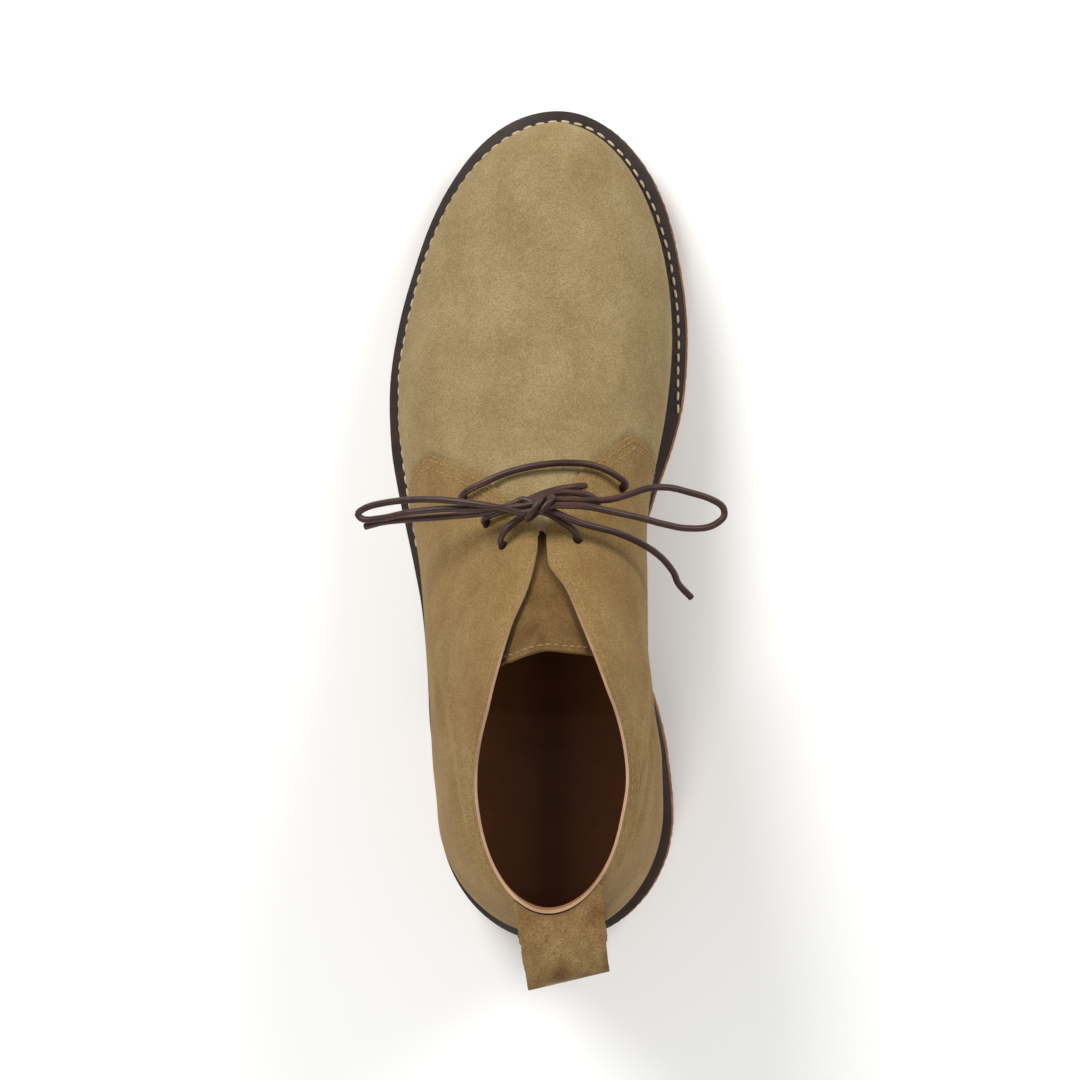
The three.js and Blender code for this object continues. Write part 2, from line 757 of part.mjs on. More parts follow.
// How far forward the heel's surface has curved at a distance from the back seam.
function heelCurve(x, height) {
  const side = x > upper.crestX(10) ? 1 : -1;
  let near = back(height);
  let far = near + HEEL_ROUND;
  for (let i = 0; i < 30; i++) {
    const middle = (near + far) / 2;
    if ((upperX(middle, height, side) - x) * side < 0) near = middle;
    else far = middle;
  }
  return near - back(height);
}

// ---- Cord ----

function cordTube(route, steps) {
  const path = new THREE.CatmullRomCurve3(route.map((p) => new THREE.Vector3(...p)));
  const section = new THREE.Shape();
  for (let i = 0; i < LACE_SIDES; i++) {
    const turn = (2 * Math.PI * i) / LACE_SIDES;
    const [u, v] = [(LACE / 2) * Math.cos(turn), (LACE / 2) * Math.sin(turn)];
    if (i === 0) section.moveTo(u, v);
    else section.lineTo(u, v);
  }
  section.closePath();
  return new THREE.ExtrudeGeometry(section, { steps, bevelEnabled: false, extrudePath: path });
}

// The two crossing strands touch, so they are one solid.
function laceCrossing() {
  const [first, second] = LACE_CROSSING.map((route) => solidOf(cordTube(route, 16)));
  return geometryFrom(first.add(second));
}

function laceKnot() {
  const knot = new THREE.SphereGeometry(1, 12, 8).scale(...KNOT.radii);
  return geometryFrom(solidOf(knot.translate(...KNOT.centre)));
}

// ---- The boot ----

const boot = new THREE.Group();
boot.add(meshOf("outsole", outsole(), "crepe"));
boot.add(meshOf("heel", heel(), "crepe"));
boot.add(meshOf("midsole", midsole(), "edge"));
boot.add(meshOf("welt", welt(), "edge"));
boot.add(meshOf("insole", insole(), "lining"));
boot.add(meshOf("upper", upperPiece(), "suede"));
boot.add(meshOf("tongue", tonguePiece(), "suede"));
boot.add(meshOf("pull_loop", pullLoop(), "suede"));
boot.add(meshOf("lace_bar", cordTube(LACE_BAR, 26), "cord"));
boot.add(meshOf("lace_crossing", laceCrossing(), "cord"));
boot.add(meshOf("lace_risers", cordTube(LACE_RISERS, 22), "cord"));
boot.add(meshOf("lace_knot", laceKnot(), "cord"));
for (const side of ["lateral", "medial"]) {
  boot.add(meshOf("lace_loop_" + side, cordTube(LACE_LOOPS[side], 30), "cord"));
  boot.add(meshOf("lace_end_" + side, cordTube(LACE_ENDS[side], 14), "cord"));
}

export default boot;
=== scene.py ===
# %% [markdown]
# # A left chukka boot in sand suede
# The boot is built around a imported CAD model, which fixes its size. Everything here is in metres in
# that model's frame: +X to the inner (medial) side, +Y to the toe, +Z up, and the origin on the
# floor at the middle of the heel. Tables are in millimetres, as a last maker would write them, and
# their first column, the station, is counted from the back of the heel.

# %% Load the frame
import math

import bpy
import numpy as np
from mathutils import Matrix, Vector
from mathutils.bvhtree import BVHTree


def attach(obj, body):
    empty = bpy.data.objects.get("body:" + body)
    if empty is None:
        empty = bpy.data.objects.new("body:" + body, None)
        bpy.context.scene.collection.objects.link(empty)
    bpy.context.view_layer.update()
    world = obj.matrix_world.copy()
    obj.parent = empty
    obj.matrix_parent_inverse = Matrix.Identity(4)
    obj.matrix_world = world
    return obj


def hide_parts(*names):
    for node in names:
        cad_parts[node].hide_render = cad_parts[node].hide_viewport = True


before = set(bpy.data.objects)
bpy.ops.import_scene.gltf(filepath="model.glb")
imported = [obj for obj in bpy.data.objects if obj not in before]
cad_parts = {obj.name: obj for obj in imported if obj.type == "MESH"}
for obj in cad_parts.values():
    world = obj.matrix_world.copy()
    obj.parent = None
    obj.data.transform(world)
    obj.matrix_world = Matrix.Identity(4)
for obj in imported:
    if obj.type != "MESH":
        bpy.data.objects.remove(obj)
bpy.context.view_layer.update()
MM = 0.001
HEEL_CENTRE = 40.0  # the origin is at this station
print("the CAD holds", len(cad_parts), "nodes")


# %% [markdown]
# ## The camera
# The boot is seen from straight above, with its toe up, by a long lens 1.5 m over the floor. The
# lens stands over the middle of a pair, so it sees a little of this boot's inner side. Turning it
# to the one boot that is here, without moving it, keeps that view.

# %% Camera
CAMERA_PLACE = Vector((0.045, 0.075, 1.5))
CAMERA_AIM = Vector((-0.004, 0.104, 0.045))
lens = bpy.data.cameras.new("long_lens")
lens.lens = 135.0
lens.sensor_width = 36.0
lens.clip_end = 20.0
camera = bpy.data.objects.new("camera", lens)
bpy.context.collection.objects.link(camera)
camera.location = CAMERA_PLACE
away = (CAMERA_PLACE - CAMERA_AIM).normalized()
across = Vector((0, 1, 0)).cross(away).normalized()
upward = away.cross(across)
camera.rotation_euler = Matrix((across, upward, away)).transposed().to_euler()
bpy.context.scene.camera = camera
print("camera aims at", tuple(CAMERA_AIM))


# %% [markdown]
# ## Smooth lines and tubes
# A cord is a tube round a smooth line. A centripetal Catmull-Rom line goes through every point that
# it's given and never loops between two close ones, so the cord lies where its points say. The tube
# is a mesh of rings along that line.

# %% A smooth line through points
def smooth_line(points, per_span=12):
    """Centripetal Catmull-Rom line through the points."""
    p = np.asarray(points, float)
    p = np.vstack([2 * p[0] - p[1], p, 2 * p[-1] - p[-2]])
    line = []
    for i in range(1, len(p) - 2):
        t = [0.0]
        for a, b in zip(p[i - 1 : i + 2], p[i : i + 3]):
            t.append(t[-1] + max(1e-6, np.linalg.norm(b - a)) ** 0.5)
        for u in np.linspace(t[1], t[2], per_span, endpoint=False):
            a = [(t[k + 1] - u) / (t[k + 1] - t[k]) * p[i - 1 + k]
                 + (u - t[k]) / (t[k + 1] - t[k]) * p[i + k] for k in range(3)]
            b = [(t[k + 2] - u) / (t[k + 2] - t[k]) * a[k]
                 + (u - t[k]) / (t[k + 2] - t[k]) * a[k + 1] for k in range(2)]
            line.append((t[2] - u) / (t[2] - t[1]) * b[0] + (u - t[1]) / (t[2] - t[1]) * b[1])
    line.append(p[-2])
    return np.array(line)


def run_along(line):
    """How far along the line each of its points is."""
    return np.concatenate([[0], np.cumsum(np.linalg.norm(np.diff(line, axis=0), axis=1))])


def points_at(line, run, at):
    """The line's points at these distances along it."""
    return np.stack([np.interp(at, run, line[:, k]) for k in range(line.shape[1])], -1)


def spaced(line, step):
    """The line again, with its points a step apart."""
    run = run_along(line)
    return points_at(line, run, np.linspace(0, run[-1], max(2, int(round(run[-1] / step)) + 1)))


def length_of(line):
    return float(np.linalg.norm(np.diff(line, axis=0), axis=1).sum())


def unit(rows):
    """The directions of the rows, each one long."""
    return rows / np.linalg.norm(rows, axis=1)[:, None]


# %% [markdown]
# Every piece of the boot is made by one function, which also says what the piece is made of and
# which parts of the CAD it stands for.

# %% Meshes from arrays
def mesh_piece(name, mesh_parts, materials, nodes=(), marks=None, sharp=60):
    """A smooth-shaded piece, in metres from millimetres, that stands for some CAD nodes."""
    points, faces = mesh_parts
    mesh = bpy.data.meshes.new(name)
    mesh.from_pydata((np.asarray(points) * MM).tolist(), [], [list(map(int, f)) for f in faces])
    mesh.validate()
    for material in materials:
        mesh.materials.append(material)
    if marks is not None:
        mesh.polygons.foreach_set("material_index", np.asarray(marks, np.int32))
    mesh.polygons.foreach_set("use_smooth", [True] * len(mesh.polygons))
    mesh.set_sharp_from_angle(angle=math.radians(sharp))
    mesh.update()
    piece = bpy.data.objects.new(name, mesh)
    bpy.context.collection.objects.link(piece)
    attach(piece, "root")
    if nodes:
        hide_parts(*nodes)
    print(name, len(mesh.polygons), "faces")
    return piece


# %% [markdown]
# Most shapes are bands of four-sided faces between rings of points, closed by a cap at each end. A
# tube's rings are turned as little as can be from one to the next, so the cord doesn't twist.

# %% Bands, caps and tubes
def joined(parts):
    """The points and faces of several parts as one mesh."""
    points, faces, count = [], [], 0
    for part_points, part_faces in parts:
        points.append(part_points)
        faces += [tuple(i + count for i in face) for face in part_faces]
        count += len(part_points)
    return np.vstack(points), faces


def bands(rings, count, closed=False):
    """Four-sided faces between rings of count points. Closed, the last ring meets the first."""
    faces = []
    for k in range(rings if closed else rings - 1):
        low, high = k * count, (k + 1) % rings * count
        for i in range(count):
            j = (i + 1) % count
            faces.append((low + i, low + j, high + j, high + i))
    return faces


def capped(faces, rings, count):
    """The faces with a flat cap over the first ring and the last."""
    end = (rings - 1) * count
    return faces + [tuple(range(count))[::-1], tuple(range(end, end + count))]


def tube(line, radius, sides=14):
    """Points and faces of a tube round a line, with flat ends."""
    way = unit(np.gradient(line, axis=0))
    u = np.cross(way[0], (0.3, 0.2, 1.0))
    u /= np.linalg.norm(u)
    rings = []
    turn = np.linspace(0, 2 * math.pi, sides, endpoint=False)
    for i, centre in enumerate(line):
        u = u - way[i] * np.dot(u, way[i])
        u /= np.linalg.norm(u)
        v = np.cross(way[i], u)
        rings.append(centre + radius * (np.outer(np.cos(turn), u) + np.outer(np.sin(turn), v)))
    return np.vstack(rings), capped(bands(len(line), sides), len(line), sides)


# %% [markdown]
# ## Colours and nodes
# Colours are written as a paint chart gives them, in sRGB hex, and one function makes them linear.
# Another adds a shader node, sets it and links it, so that a material reads as a list of what is
# mixed into what. Each material starts empty and ends in one surface.

# %% Colour and node helpers
def linear(hexed):
    """An sRGB hex colour as linear RGBA."""
    channels = [int(hexed[i : i + 2], 16) / 255 for i in (1, 3, 5)]
    return [c / 12.92 if c <= 0.04045 else ((c + 0.055) / 1.055) ** 2.4 for c in channels] + [1.0]


def node(tree, kind, settings=None, **inputs):
    """Adds a node. Settings are its own; an input is a value, or another node's output."""
    made = tree.nodes.new(kind)
    for name, value in (settings or {}).items():
        setattr(made, name, value)
    for name, value in inputs.items():
        key = int(name[1:]) if name[0] == "_" and name[1:].isdigit() else name.replace("_", " ")
        socket = made.inputs[key]
        if isinstance(value, bpy.types.NodeSocket):
            tree.links.new(value, socket)
        else:
            socket.default_value = value
    return made


def start_material(name):
    """An empty material, its node tree and the object's own coordinates."""
    material = bpy.data.materials.new(name)
    material.use_nodes = True
    tree = material.node_tree
    tree.nodes.clear()
    return material, tree, node(tree, "ShaderNodeTexCoord").outputs["Object"]


def surface(tree, **inputs):
    """The surface that a material ends in."""
    body = node(tree, "ShaderNodeBsdfPrincipled", **inputs)
    node(tree, "ShaderNodeOutputMaterial", Surface=body.outputs["BSDF"])


# %% [markdown]
# Leather, rubber and thread all need the same few things: a cloudy noise of a known size, a ramp of
# colours, a shade laid over a colour, and small bumps.

# %% Patterns
def noise(tree, place, size_mm, detail=2.0, roughness=0.5):
    """Cloudy noise whose blotches are about size_mm across."""
    made = node(
        tree, "ShaderNodeTexNoise", Vector=place, Scale=1 / (size_mm * MM), Detail=detail,
        Roughness=roughness,
    )
    return made.outputs["Fac"]


def ramp(tree, fac, *stops):
    """A colour ramp from (position, hex colour) stops."""
    made = node(tree, "ShaderNodeValToRGB", Fac=fac)
    elements = made.color_ramp.elements
    while len(elements) < len(stops):
        elements.new(0.5)
    for element, (position, colour) in zip(elements, stops):
        element.position = position
        element.color = linear(colour)
    return made.outputs["Color"]


def shaded(tree, share, base, fac, low, shade, high):
    """The base colour, multiplied by a share of the shade where fac is low."""
    made = node(
        tree, "ShaderNodeMix", {"data_type": "RGBA", "blend_type": "MULTIPLY"},
        _0=share, _6=base, _7=ramp(tree, fac, (low, shade), (high, "#ffffff")),
    )
    return made.outputs[2]


def bumps(tree, height, strength, distance, **more):
    """The surface's direction, bent by a pattern that stands out by a distance in metres."""
    made = node(
        tree, "ShaderNodeBump", Height=height, Strength=strength, Distance=distance, **more
    )
    return made.outputs["Normal"]


# %% [markdown]
# ## The cord
# The lace is a round waxed cotton cord, 2.4 mm thick, dyed dark brown. Wax fills the braid, so it
# has a dull shine and only a faint herringbone. Cotton's IOR is about 1.5. The braid is one slanted
# wave pattern with a 1.3 mm repeat, faint enough to show only up close.

# %% Waxed cord
def waxed_cord():
    material, tree, place = start_material("waxed_cotton_cord")
    fibre = noise(tree, place, 1.3, 3.0)
    wear = noise(tree, place, 9.0, 2.0)
    base = ramp(tree, wear, (0.35, "#331b15"), (0.65, "#45281f"))
    dyed = shaded(tree, 0.35, base, fibre, 0.3, "#8c8c8c", 0.7)
    braid = node(
        tree, "ShaderNodeTexWave", {"wave_type": "BANDS", "bands_direction": "DIAGONAL"},
        Vector=place, Scale=0.5 / (1.3 * MM) / 3.14, Distortion=1.2,
    ).outputs["Fac"]
    surface(
        tree, Base_Color=dyed, Roughness=0.42, IOR=1.5, Specular_IOR_Level=0.35,
        Normal=bumps(tree, braid, 0.25, 0.00015),
    )
    return material


CORD = waxed_cord()

# %% [markdown]
# The cord's route is written as points in millimetres. They are the CAD's, but for one more at the
# end of the crossing and for the strands inside the knot. Three held stretches come first: the bar
# over the vamp between the first holes, two strands that cross in front of the facings, and the
# risers from the last holes to the knot. The bow's two loops and two ends lie free, and each is a
# cord of its own. The knot is one strand that wraps round the others.

# %% Routes of the held stretches
LACE = 2.4
CORD_STEP, FREE_STEP = 0.7, 0.8  # distances between the rings of held and free cord
LACE_BAR = [
    (-29.1, 117.6, 73.1), (-30.8, 118.5, 75.8), (-28.8, 120.4, 78.2), (-24.4, 122.6, 80.0),
    (-14.4, 126.9, 81.6), (-3.8, 129.4, 82.3), (6.6, 130.3, 81.6), (15.4, 129.6, 80.0),
    (22.6, 126.8, 78.0), (27.2, 123.4, 75.3), (27.1, 122.1, 72.9), (25.0, 121.2, 70.8),
]
LACE_CROSSING = [
    [
        (-20.7, 108.5, 83.7), (-22.3, 109.9, 86.2), (-20.3, 111.6, 88.4), (-12.2, 114.3, 90.1),
        (-4.0, 118.3, 89.8), (3.0, 120.7, 87.9), (9.5, 121.8, 84.9),
        (13.0, 122.2, 81.0),  # the end goes in under the medial facing
    ],
    [
        (16.3, 114.4, 82.8), (17.6, 116.0, 85.2), (15.2, 118.4, 87.2), (9.2, 119.6, 88.4),
        (2.4, 119.3, 89.8), (-4.0, 117.0, 91.5), (-7.5, 115.2, 92.0),
    ],
]
LACE_RISERS = [
    (-14.7, 100.4, 92.9), (-16.0, 102.0, 95.4), (-15.2, 105.2, 97.2), (-10.5, 109.6, 97.6),
    (-5.5, 112.3, 97.4), (-2.2, 112.9, 97.3), (1.4, 111.7, 97.5), (5.2, 109.3, 98.0),
    (9.3, 106.6, 97.9), (11.0, 104.0, 96.6), (10.3, 102.1, 94.3),
]


def held_strand(name, routes, *nodes):
    """A strand that holes or other strands hold: one mesh for its routes."""
    tubes = [tube(spaced(smooth_line(route), CORD_STEP), LACE / 2) for route in routes]
    mesh_piece(name, joined(tubes), [CORD], nodes)


held_strand("lace_over_vamp", [LACE_BAR], "lace_bar")
held_strand("lace_cross", LACE_CROSSING, "lace_crossing")
held_strand("lace_to_knot", [LACE_RISERS], "lace_risers")

# %% [markdown]
# The loops spring from the knot on each side, run out, turn back and come in under it. Each ends
# inside the knot, where short strands join the two sides. The two ends hang beside the loops, and
# their own ends are plain and bare.

# %% Routes of the free stretches
KNOT_CENTRE = np.array((-2.6, 113.9, 102.1))
LOOP_LATERAL = [
    (-8.6, 112.2, 102.6), (-18.9, 114.5, 102.0), (-31.3, 116.4, 98.9), (-43.9, 117.2, 94.2),
    (-56.6, 116.2, 88.6), (-64.0, 114.4, 85.0), (-66.6, 112.4, 83.8), (-64.9, 110.6, 84.2),
    (-56.8, 111.0, 87.6), (-48.9, 112.6, 91.2), (-36.4, 113.8, 95.0), (-26.4, 114.0, 97.2),
    (-16.0, 114.0, 99.0), (-8.4, 114.6, 100.0),
]
LOOP_MEDIAL = [
    (3.4, 114.8, 103.2), (13.8, 114.4, 102.6), (24.6, 112.3, 99.9), (32.2, 110.7, 97.4),
    (40.7, 108.5, 94.0), (48.9, 107.1, 90.6), (57.1, 107.9, 87.6), (61.6, 111.4, 86.2),
    (61.2, 114.6, 86.4), (57.1, 117.3, 88.2), (48.9, 119.8, 91.6), (42.4, 121.2, 94.0),
    (35.3, 120.9, 95.9), (28.9, 118.8, 97.0), (22.2, 117.0, 97.8), (14.0, 116.6, 98.8),
    (3.6, 116.8, 100.2),
]
END_LATERAL = [
    (-8.2, 117.0, 97.4), (-18.9, 113.0, 94.8), (-33.8, 111.4, 91.0), (-48.7, 110.4, 86.7),
    (-57.4, 109.6, 84.0), (-64.3, 108.0, 81.8),
]
END_MEDIAL = [
    (3.2, 112.4, 101.2), (11.5, 108.9, 100.0), (24.6, 105.4, 95.4), (33.2, 101.6, 90.4),
    (39.6, 97.2, 85.0), (44.0, 91.9, 79.6), (45.8, 87.9, 76.0), (50.2, 83.2, 71.6),
]


# %% [markdown]
# The wrap leans over the strands that it holds, so its turns are slanted rings. The strands inside
# it reach a little way into the loops and ends on both sides, so that no gap shows.

# %% The knot
WRAP_STEPS, WRAP_START, WRAP_TURN = 18, -60, 540  # angles in degrees: one and a half turns
WRAP_LONG, WRAP_SLANT, WRAP_DEEP, WRAP_HIGH, WRAP_LIFT = 4.8, 3.4, 3.8, 3.2, 0.2
REACH_IN = 0.12  # the share of a route's first leg that a strand of the knot covers


def knot_turns():
    """The wrap of the bow: one and a half slanted turns round the strands that meet there."""
    turns = []
    for k in range(WRAP_STEPS + 1):
        a = math.radians(WRAP_START + WRAP_TURN * k / WRAP_STEPS)
        shift = -WRAP_LONG / 2 + WRAP_LONG * k / WRAP_STEPS
        across_knot = shift + WRAP_SLANT * math.cos(a)
        turn = (across_knot, WRAP_DEEP * math.cos(a), WRAP_LIFT + WRAP_HIGH * math.sin(a))
        turns.append(KNOT_CENTRE + turn)
    return turns


def through_knot(left, right):
    """A route from one side's first two points to the other's."""
    reach = [np.array(a[0]) + REACH_IN * (np.array(a[1]) - np.array(a[0])) for a in (left, right)]
    return [tuple(reach[0]), left[0], right[0], tuple(reach[1])]


def free_strand(name, route, far_end, *nodes):
    """A stretch of cord that lies free, made as a tube along its route."""
    line = spaced(smooth_line(route), FREE_STEP)
    piece = mesh_piece(name, tube(line, LACE / 2), [CORD], nodes)


free_strand("bow_knot", knot_turns(), "object", "lace_knot")
free_strand("bow_loop_lateral", LOOP_LATERAL, "object", "lace_loop_lateral")
free_strand("bow_loop_medial", LOOP_MEDIAL, "object", "lace_loop_medial")
free_strand("bow_end_lateral", END_LATERAL, "bare", "lace_end_lateral")
free_strand("bow_end_medial", END_MEDIAL, "bare", "lace_end_medial")
held_strand(
    "bow_knot_core",
    [
        through_knot(LOOP_LATERAL, LOOP_MEDIAL),
        through_knot(LOOP_LATERAL[::-1], LOOP_MEDIAL[::-1]),
        through_knot(END_LATERAL, END_MEDIAL),
    ],
)


# %% [markdown]
# ## The last
# A shoe is built on a last, and its surface is what the leather follows. It could be sculpted, but a
# last maker works from sections: widths each side of a centre line at stations along the foot, and
# the height of the instep. Each column below becomes one smooth curve, and every panel, seam and
# crease is then placed on the surface that they make together. The numbers are the CAD's.

# %% Tables of the sole and the upper
def table(columns, rows):
    return {name: np.array([row[i] for row in rows]) for i, name in enumerate(columns)}


SOLE = table(
    ("along", "lateral", "medial", "feather", "tread"),
    [
        (-1, 40.2, 42.9, 30.0, 17.5), (45, 40.9, 42.2, 30.0, 17.5),
        (65, 43.0, 40.3, 29.8, 17.5), (79, 44.6, 37.6, 28.6, 17.5),
        (90, 45.3, 34.3, 26.0, 14.2), (105, 46.5, 29.2, 22.4, 10.2),
        (120, 48.3, 27.1, 19.3, 6.4), (135, 51.3, 28.5, 16.6, 2.9),
        (150, 54.7, 31.8, 14.6, 0.4), (162, 57.4, 35.5, 13.4, 0),
        (180, 60.3, 41.7, 12.8, 0), (195, 61.0, 45.2, 12.6, 0),
        (225, 59.2, 48.0, 13.0, 0), (250, 57.7, 49.5, 14.6, 1.3),
        (275, 57.7, 52.1, 17.9, 4.3), (301, 59.6, 54.0, 22.8, 9.3),
    ],
)
UPPER = table(
    ("along", "foot_lateral", "foot_medial", "belly_lateral", "belly_medial", "rim_lateral",
     "rim_medial", "crest_x", "crest", "full_lateral", "full_medial"),
    [
        (0, 37.6, 38.8, 39.6, 38.6, 25.0, 29.0, 1.0, 300, 2.4, 2.4),
        (45, 38.2, 38.6, 39.8, 39.4, 26.0, 30.0, 2.0, 245, 2.4, 2.4),
        (65, 40.2, 36.6, 41.4, 39.8, 27.0, 32.0, 2.3, 210, 2.4, 2.4),
        (85, 41.4, 31.5, 42.4, 37.8, 26.4, 32.0, 2.2, 169, 2.4, 2.4),
        (105, 42.6, 25.6, 45.4, 37.2, 30.0, 33.5, 2.0, 137, 2.2, 2.3),
        (125, 44.8, 23.5, 48.6, 37.0, 39.5, 37.0, 0.0, 113, 2.0, 2.4),
        (145, 47.8, 26.5, 51.6, 36.3, 47.0, 37.0, -1.8, 95, 1.9, 2.6),
        (160, 51.0, 30.6, 54.6, 36.9, 53.5, 37.5, -2.0, 84.5, 1.95, 2.6),
        (175, 53.5, 35.4, 57.0, 40.2, 56.0, 40.5, -1.5, 75.5, 2.05, 2.5),
        (190, 55.0, 39.2, 58.6, 43.0, 57.5, 43.0, -0.8, 68.4, 2.15, 2.4),
        (205, 55.0, 41.4, 58.4, 44.8, 57.8, 44.5, -0.4, 62.6, 2.25, 2.35),
        (220, 53.8, 43.0, 57.2, 46.2, 56.5, 45.5, 0.0, 58, 2.3, 2.35),
        (250, 52.4, 44.8, 55.6, 48.2, 55.5, 47.5, 0.7, 51.2, 2.35, 2.35),
        (275, 51.6, 45.6, 55.2, 49.4, 55.0, 48.5, 1.2, 46.8, 2.4, 2.4),
        (300, 51.6, 46.0, 55.2, 49.8, 55.0, 49.0, 1.6, 43.8, 2.4, 2.4),
    ],
)
BACK_TOP = 14.6
BACK = table(
    ("height", "along"), [(30, 4.8), (50, 2.6), (80, 6.0), (100, 10.0), (122.5, BACK_TOP)]
)
TOPLINE = table(
    ("along", "height"),
    [(14, 122.5), (35, 120.5), (62, 121.5), (80, 127), (92, 131.5), (104, 138.3)],
)
THROAT = table(
    ("along", "lateral", "medial"),
    [
        (84, -20.4, 25.8), (92, -18.5, 22.9), (103, -15.4, 18.6), (115, -11.6, 13.0),
        (127, -6.3, 7.1), (136, -3.9, 0.6), (142, -3.1, 0.2), (147, -3.3, 0.2),
    ],
)
SOLE_BACK, SOLE_TOE, SOLE_TOE_OFFSET = -1, 301, 1.5
LAST_TOE, THROAT_TOP = 296, 104
HEEL_ROUND, TOE_ROUND = 45, 96
TOE_DROP, TOE_DROP_LENGTH = 15, 34
BELLY_LEVEL = 0.45


# %% [markdown]
# A last has no sudden bends, so each column of a table is read as a smooth curve. It goes through
# every number and never swings past one, which keeps a flat stretch flat.

# %% Curves through the tables
def column(rows, name, by="along"):
    """A smooth curve through a column, which never overshoots."""
    x, y = rows[by].astype(float), rows[name].astype(float)
    rise = np.diff(y) / np.diff(x)
    slope = np.zeros(len(x))
    slope[0], slope[-1] = rise[0], rise[-1]
    for i in range(1, len(x) - 1):
        a, b = rise[i - 1], rise[i]
        slope[i] = 0 if a * b <= 0 else 2 * a * b / (a + b)

    def value(at):
        inside = np.clip(at, x[0], x[-1])
        i = np.clip(np.searchsorted(x, inside, side="right") - 1, 0, len(x) - 2)
        span = x[i + 1] - x[i]
        u = (inside - x[i]) / span
        ease = u * u * (3 - 2 * u)
        bend = slope[i] * u * (1 - u) ** 2 - slope[i + 1] * u * u * (1 - u)
        return y[i] * (1 - ease) + y[i + 1] * ease + span * bend

    return value


sole = {name: column(SOLE, name) for name in SOLE}
last = {name: column(UPPER, name) for name in UPPER}
back = column(BACK, "along", "height")
topline = column(TOPLINE, "height")
throat = {name: column(THROAT, name) for name in THROAT}


# %% [markdown]
# From the curves come the heights that the whole boot is built on: the line over the instep, the
# foot of the upper, and its rim. They hold for any station, so they're functions too.

# %% Heights along the last
def round_off(into):
    """A quarter circle: 1 until into passes 0, and 0 where it reaches 1."""
    return np.sqrt(np.maximum(0, 1 - np.maximum(0, into) ** 2))


def crest(along):
    into = (along - (LAST_TOE - TOE_DROP_LENGTH)) / TOE_DROP_LENGTH
    return last["crest"](along) - TOE_DROP * (1 - round_off(into))


def foot_height(along):
    return sole["feather"](along) + 0.3


def side_at(x, along):
    """1 on the inner side of the last's middle line, and -1 on the outer side."""
    return np.where(x > last["crest_x"](along), 1, -1)


def halved(low, high, is_short, rounds):
    """The value between low and high where is_short turns false, found by halving."""
    for _ in range(rounds):
        middle = (low + high) / 2
        short = is_short(middle)
        low, high = np.where(short, middle, low), np.where(short, high, middle)
    return low


def there_and_back(count):
    """Steps up the inner side and down the outer side of an outline, and the sides."""
    step = np.concatenate([np.arange(count), np.arange(count, 0, -1)])
    return step, np.concatenate([np.ones(count), -np.ones(count)])


def rim_height(along):
    over = crest(along)
    return np.where(along < THROAT_TOP, np.minimum(topline(along), over), over)


print("heel is", topline(BACK_TOP), "mm high, ball", sole["lateral"](190) + sole["medial"](190))


# %% [markdown]
# At a station and a height, the surface lies a certain way out from the centre line. The reach
# comes from three widths, at the feather line, the belly and the rim. The section then closes over
# the instep like a squashed ellipse, and heel and toe are rounded off in plan.

# %% The last's surface
def surface_x(along, height, side):
    along, height = np.asarray(along, float), np.asarray(height, float)
    side = np.broadcast_to(side, along.shape)
    medial = side > 0

    def either(name):
        return np.where(medial, last[name + "_medial"](along), last[name + "_lateral"](along))

    foot = foot_height(along)
    level = (height - foot) / (rim_height(along) - foot)
    b = BELLY_LEVEL
    reach = (
        either("foot") * (level - b) * (level - 1) / b
        + either("belly") * level * (level - 1) / (b * (b - 1))
        + either("rim") * level * (level - b) / (1 - b)
    )
    rise = np.clip((height - foot) / (crest(along) - foot), 0, 1)
    full = either("full")
    section = (1 - rise**full) ** (1 / full)
    heel = round_off(1 - (along - back(height)) / HEEL_ROUND)
    toe = round_off((along - (LAST_TOE - TOE_ROUND)) / TOE_ROUND)
    centre = last["crest_x"](along)
    return centre + side * (reach - side * centre) * section * heel * toe


def surface_height(x, along):
    """The surface's height over a point of the plan."""
    side = side_at(x, along)
    low = foot_height(along) * 0.65 + crest(along) * 0.35
    return halved(
        low, crest(along), lambda at: (surface_x(along, at, side) - x) * side > 0, 40
    )


def over_plan(x, along):
    """Points of the surface over points of the plan."""
    x, along = np.broadcast_arrays(np.asarray(x, float), np.asarray(along, float))
    return np.column_stack([x, along - HEEL_CENTRE, surface_height(x, along)])


# %% [markdown]
# The upper's skin is a net of rings, from the feather line to the topline. In the side view each
# ring is a line of a patch between four edges: the feather line, the topline, the back seam, and
# the line up the toe and the instep. So the net flows as leather does when it is pulled over a last.

# %% The skin as a net of rings
AROUND = 250  # steps from the back to the toe on each side
RINGS = 130


def instep_line():
    """The side view's line up the toe and the instep, by the share of its length."""
    u = np.linspace(0, 1, 400)
    along = LAST_TOE - (LAST_TOE - THROAT_TOP) * u**1.6
    points = np.vstack([
        [LAST_TOE, foot_height(LAST_TOE)], np.column_stack([along, crest(along)])
    ])
    run = run_along(points)
    return lambda share: points_at(points, run, share * run[-1])


instep = instep_line()


def blend(a, b, u):
    return a + (b - a) * u


def side_view(around, up):
    """Station and height at a share round the ring and a share up the ring's height."""
    def bottom(u):
        along = blend(back(foot_height(0)), LAST_TOE, u)
        return np.stack([along, foot_height(along)], -1)

    def top(u):
        along = blend(BACK_TOP, THROAT_TOP, u)
        return np.stack([along, rim_height(along)], -1)

    def behind(v):
        height = blend(foot_height(0), topline(BACK_TOP), v)
        return np.stack([back(height), height], -1)

    one, zero = np.ones_like(around), np.zeros_like(around)
    u, v = around[..., None], up[..., None]
    corners = blend(blend(bottom(zero), bottom(one), u), blend(top(zero), top(one), u), v)
    return (
        blend(bottom(around), top(around), v)
        + blend(behind(up), instep(up**1.5), u) - corners
    )


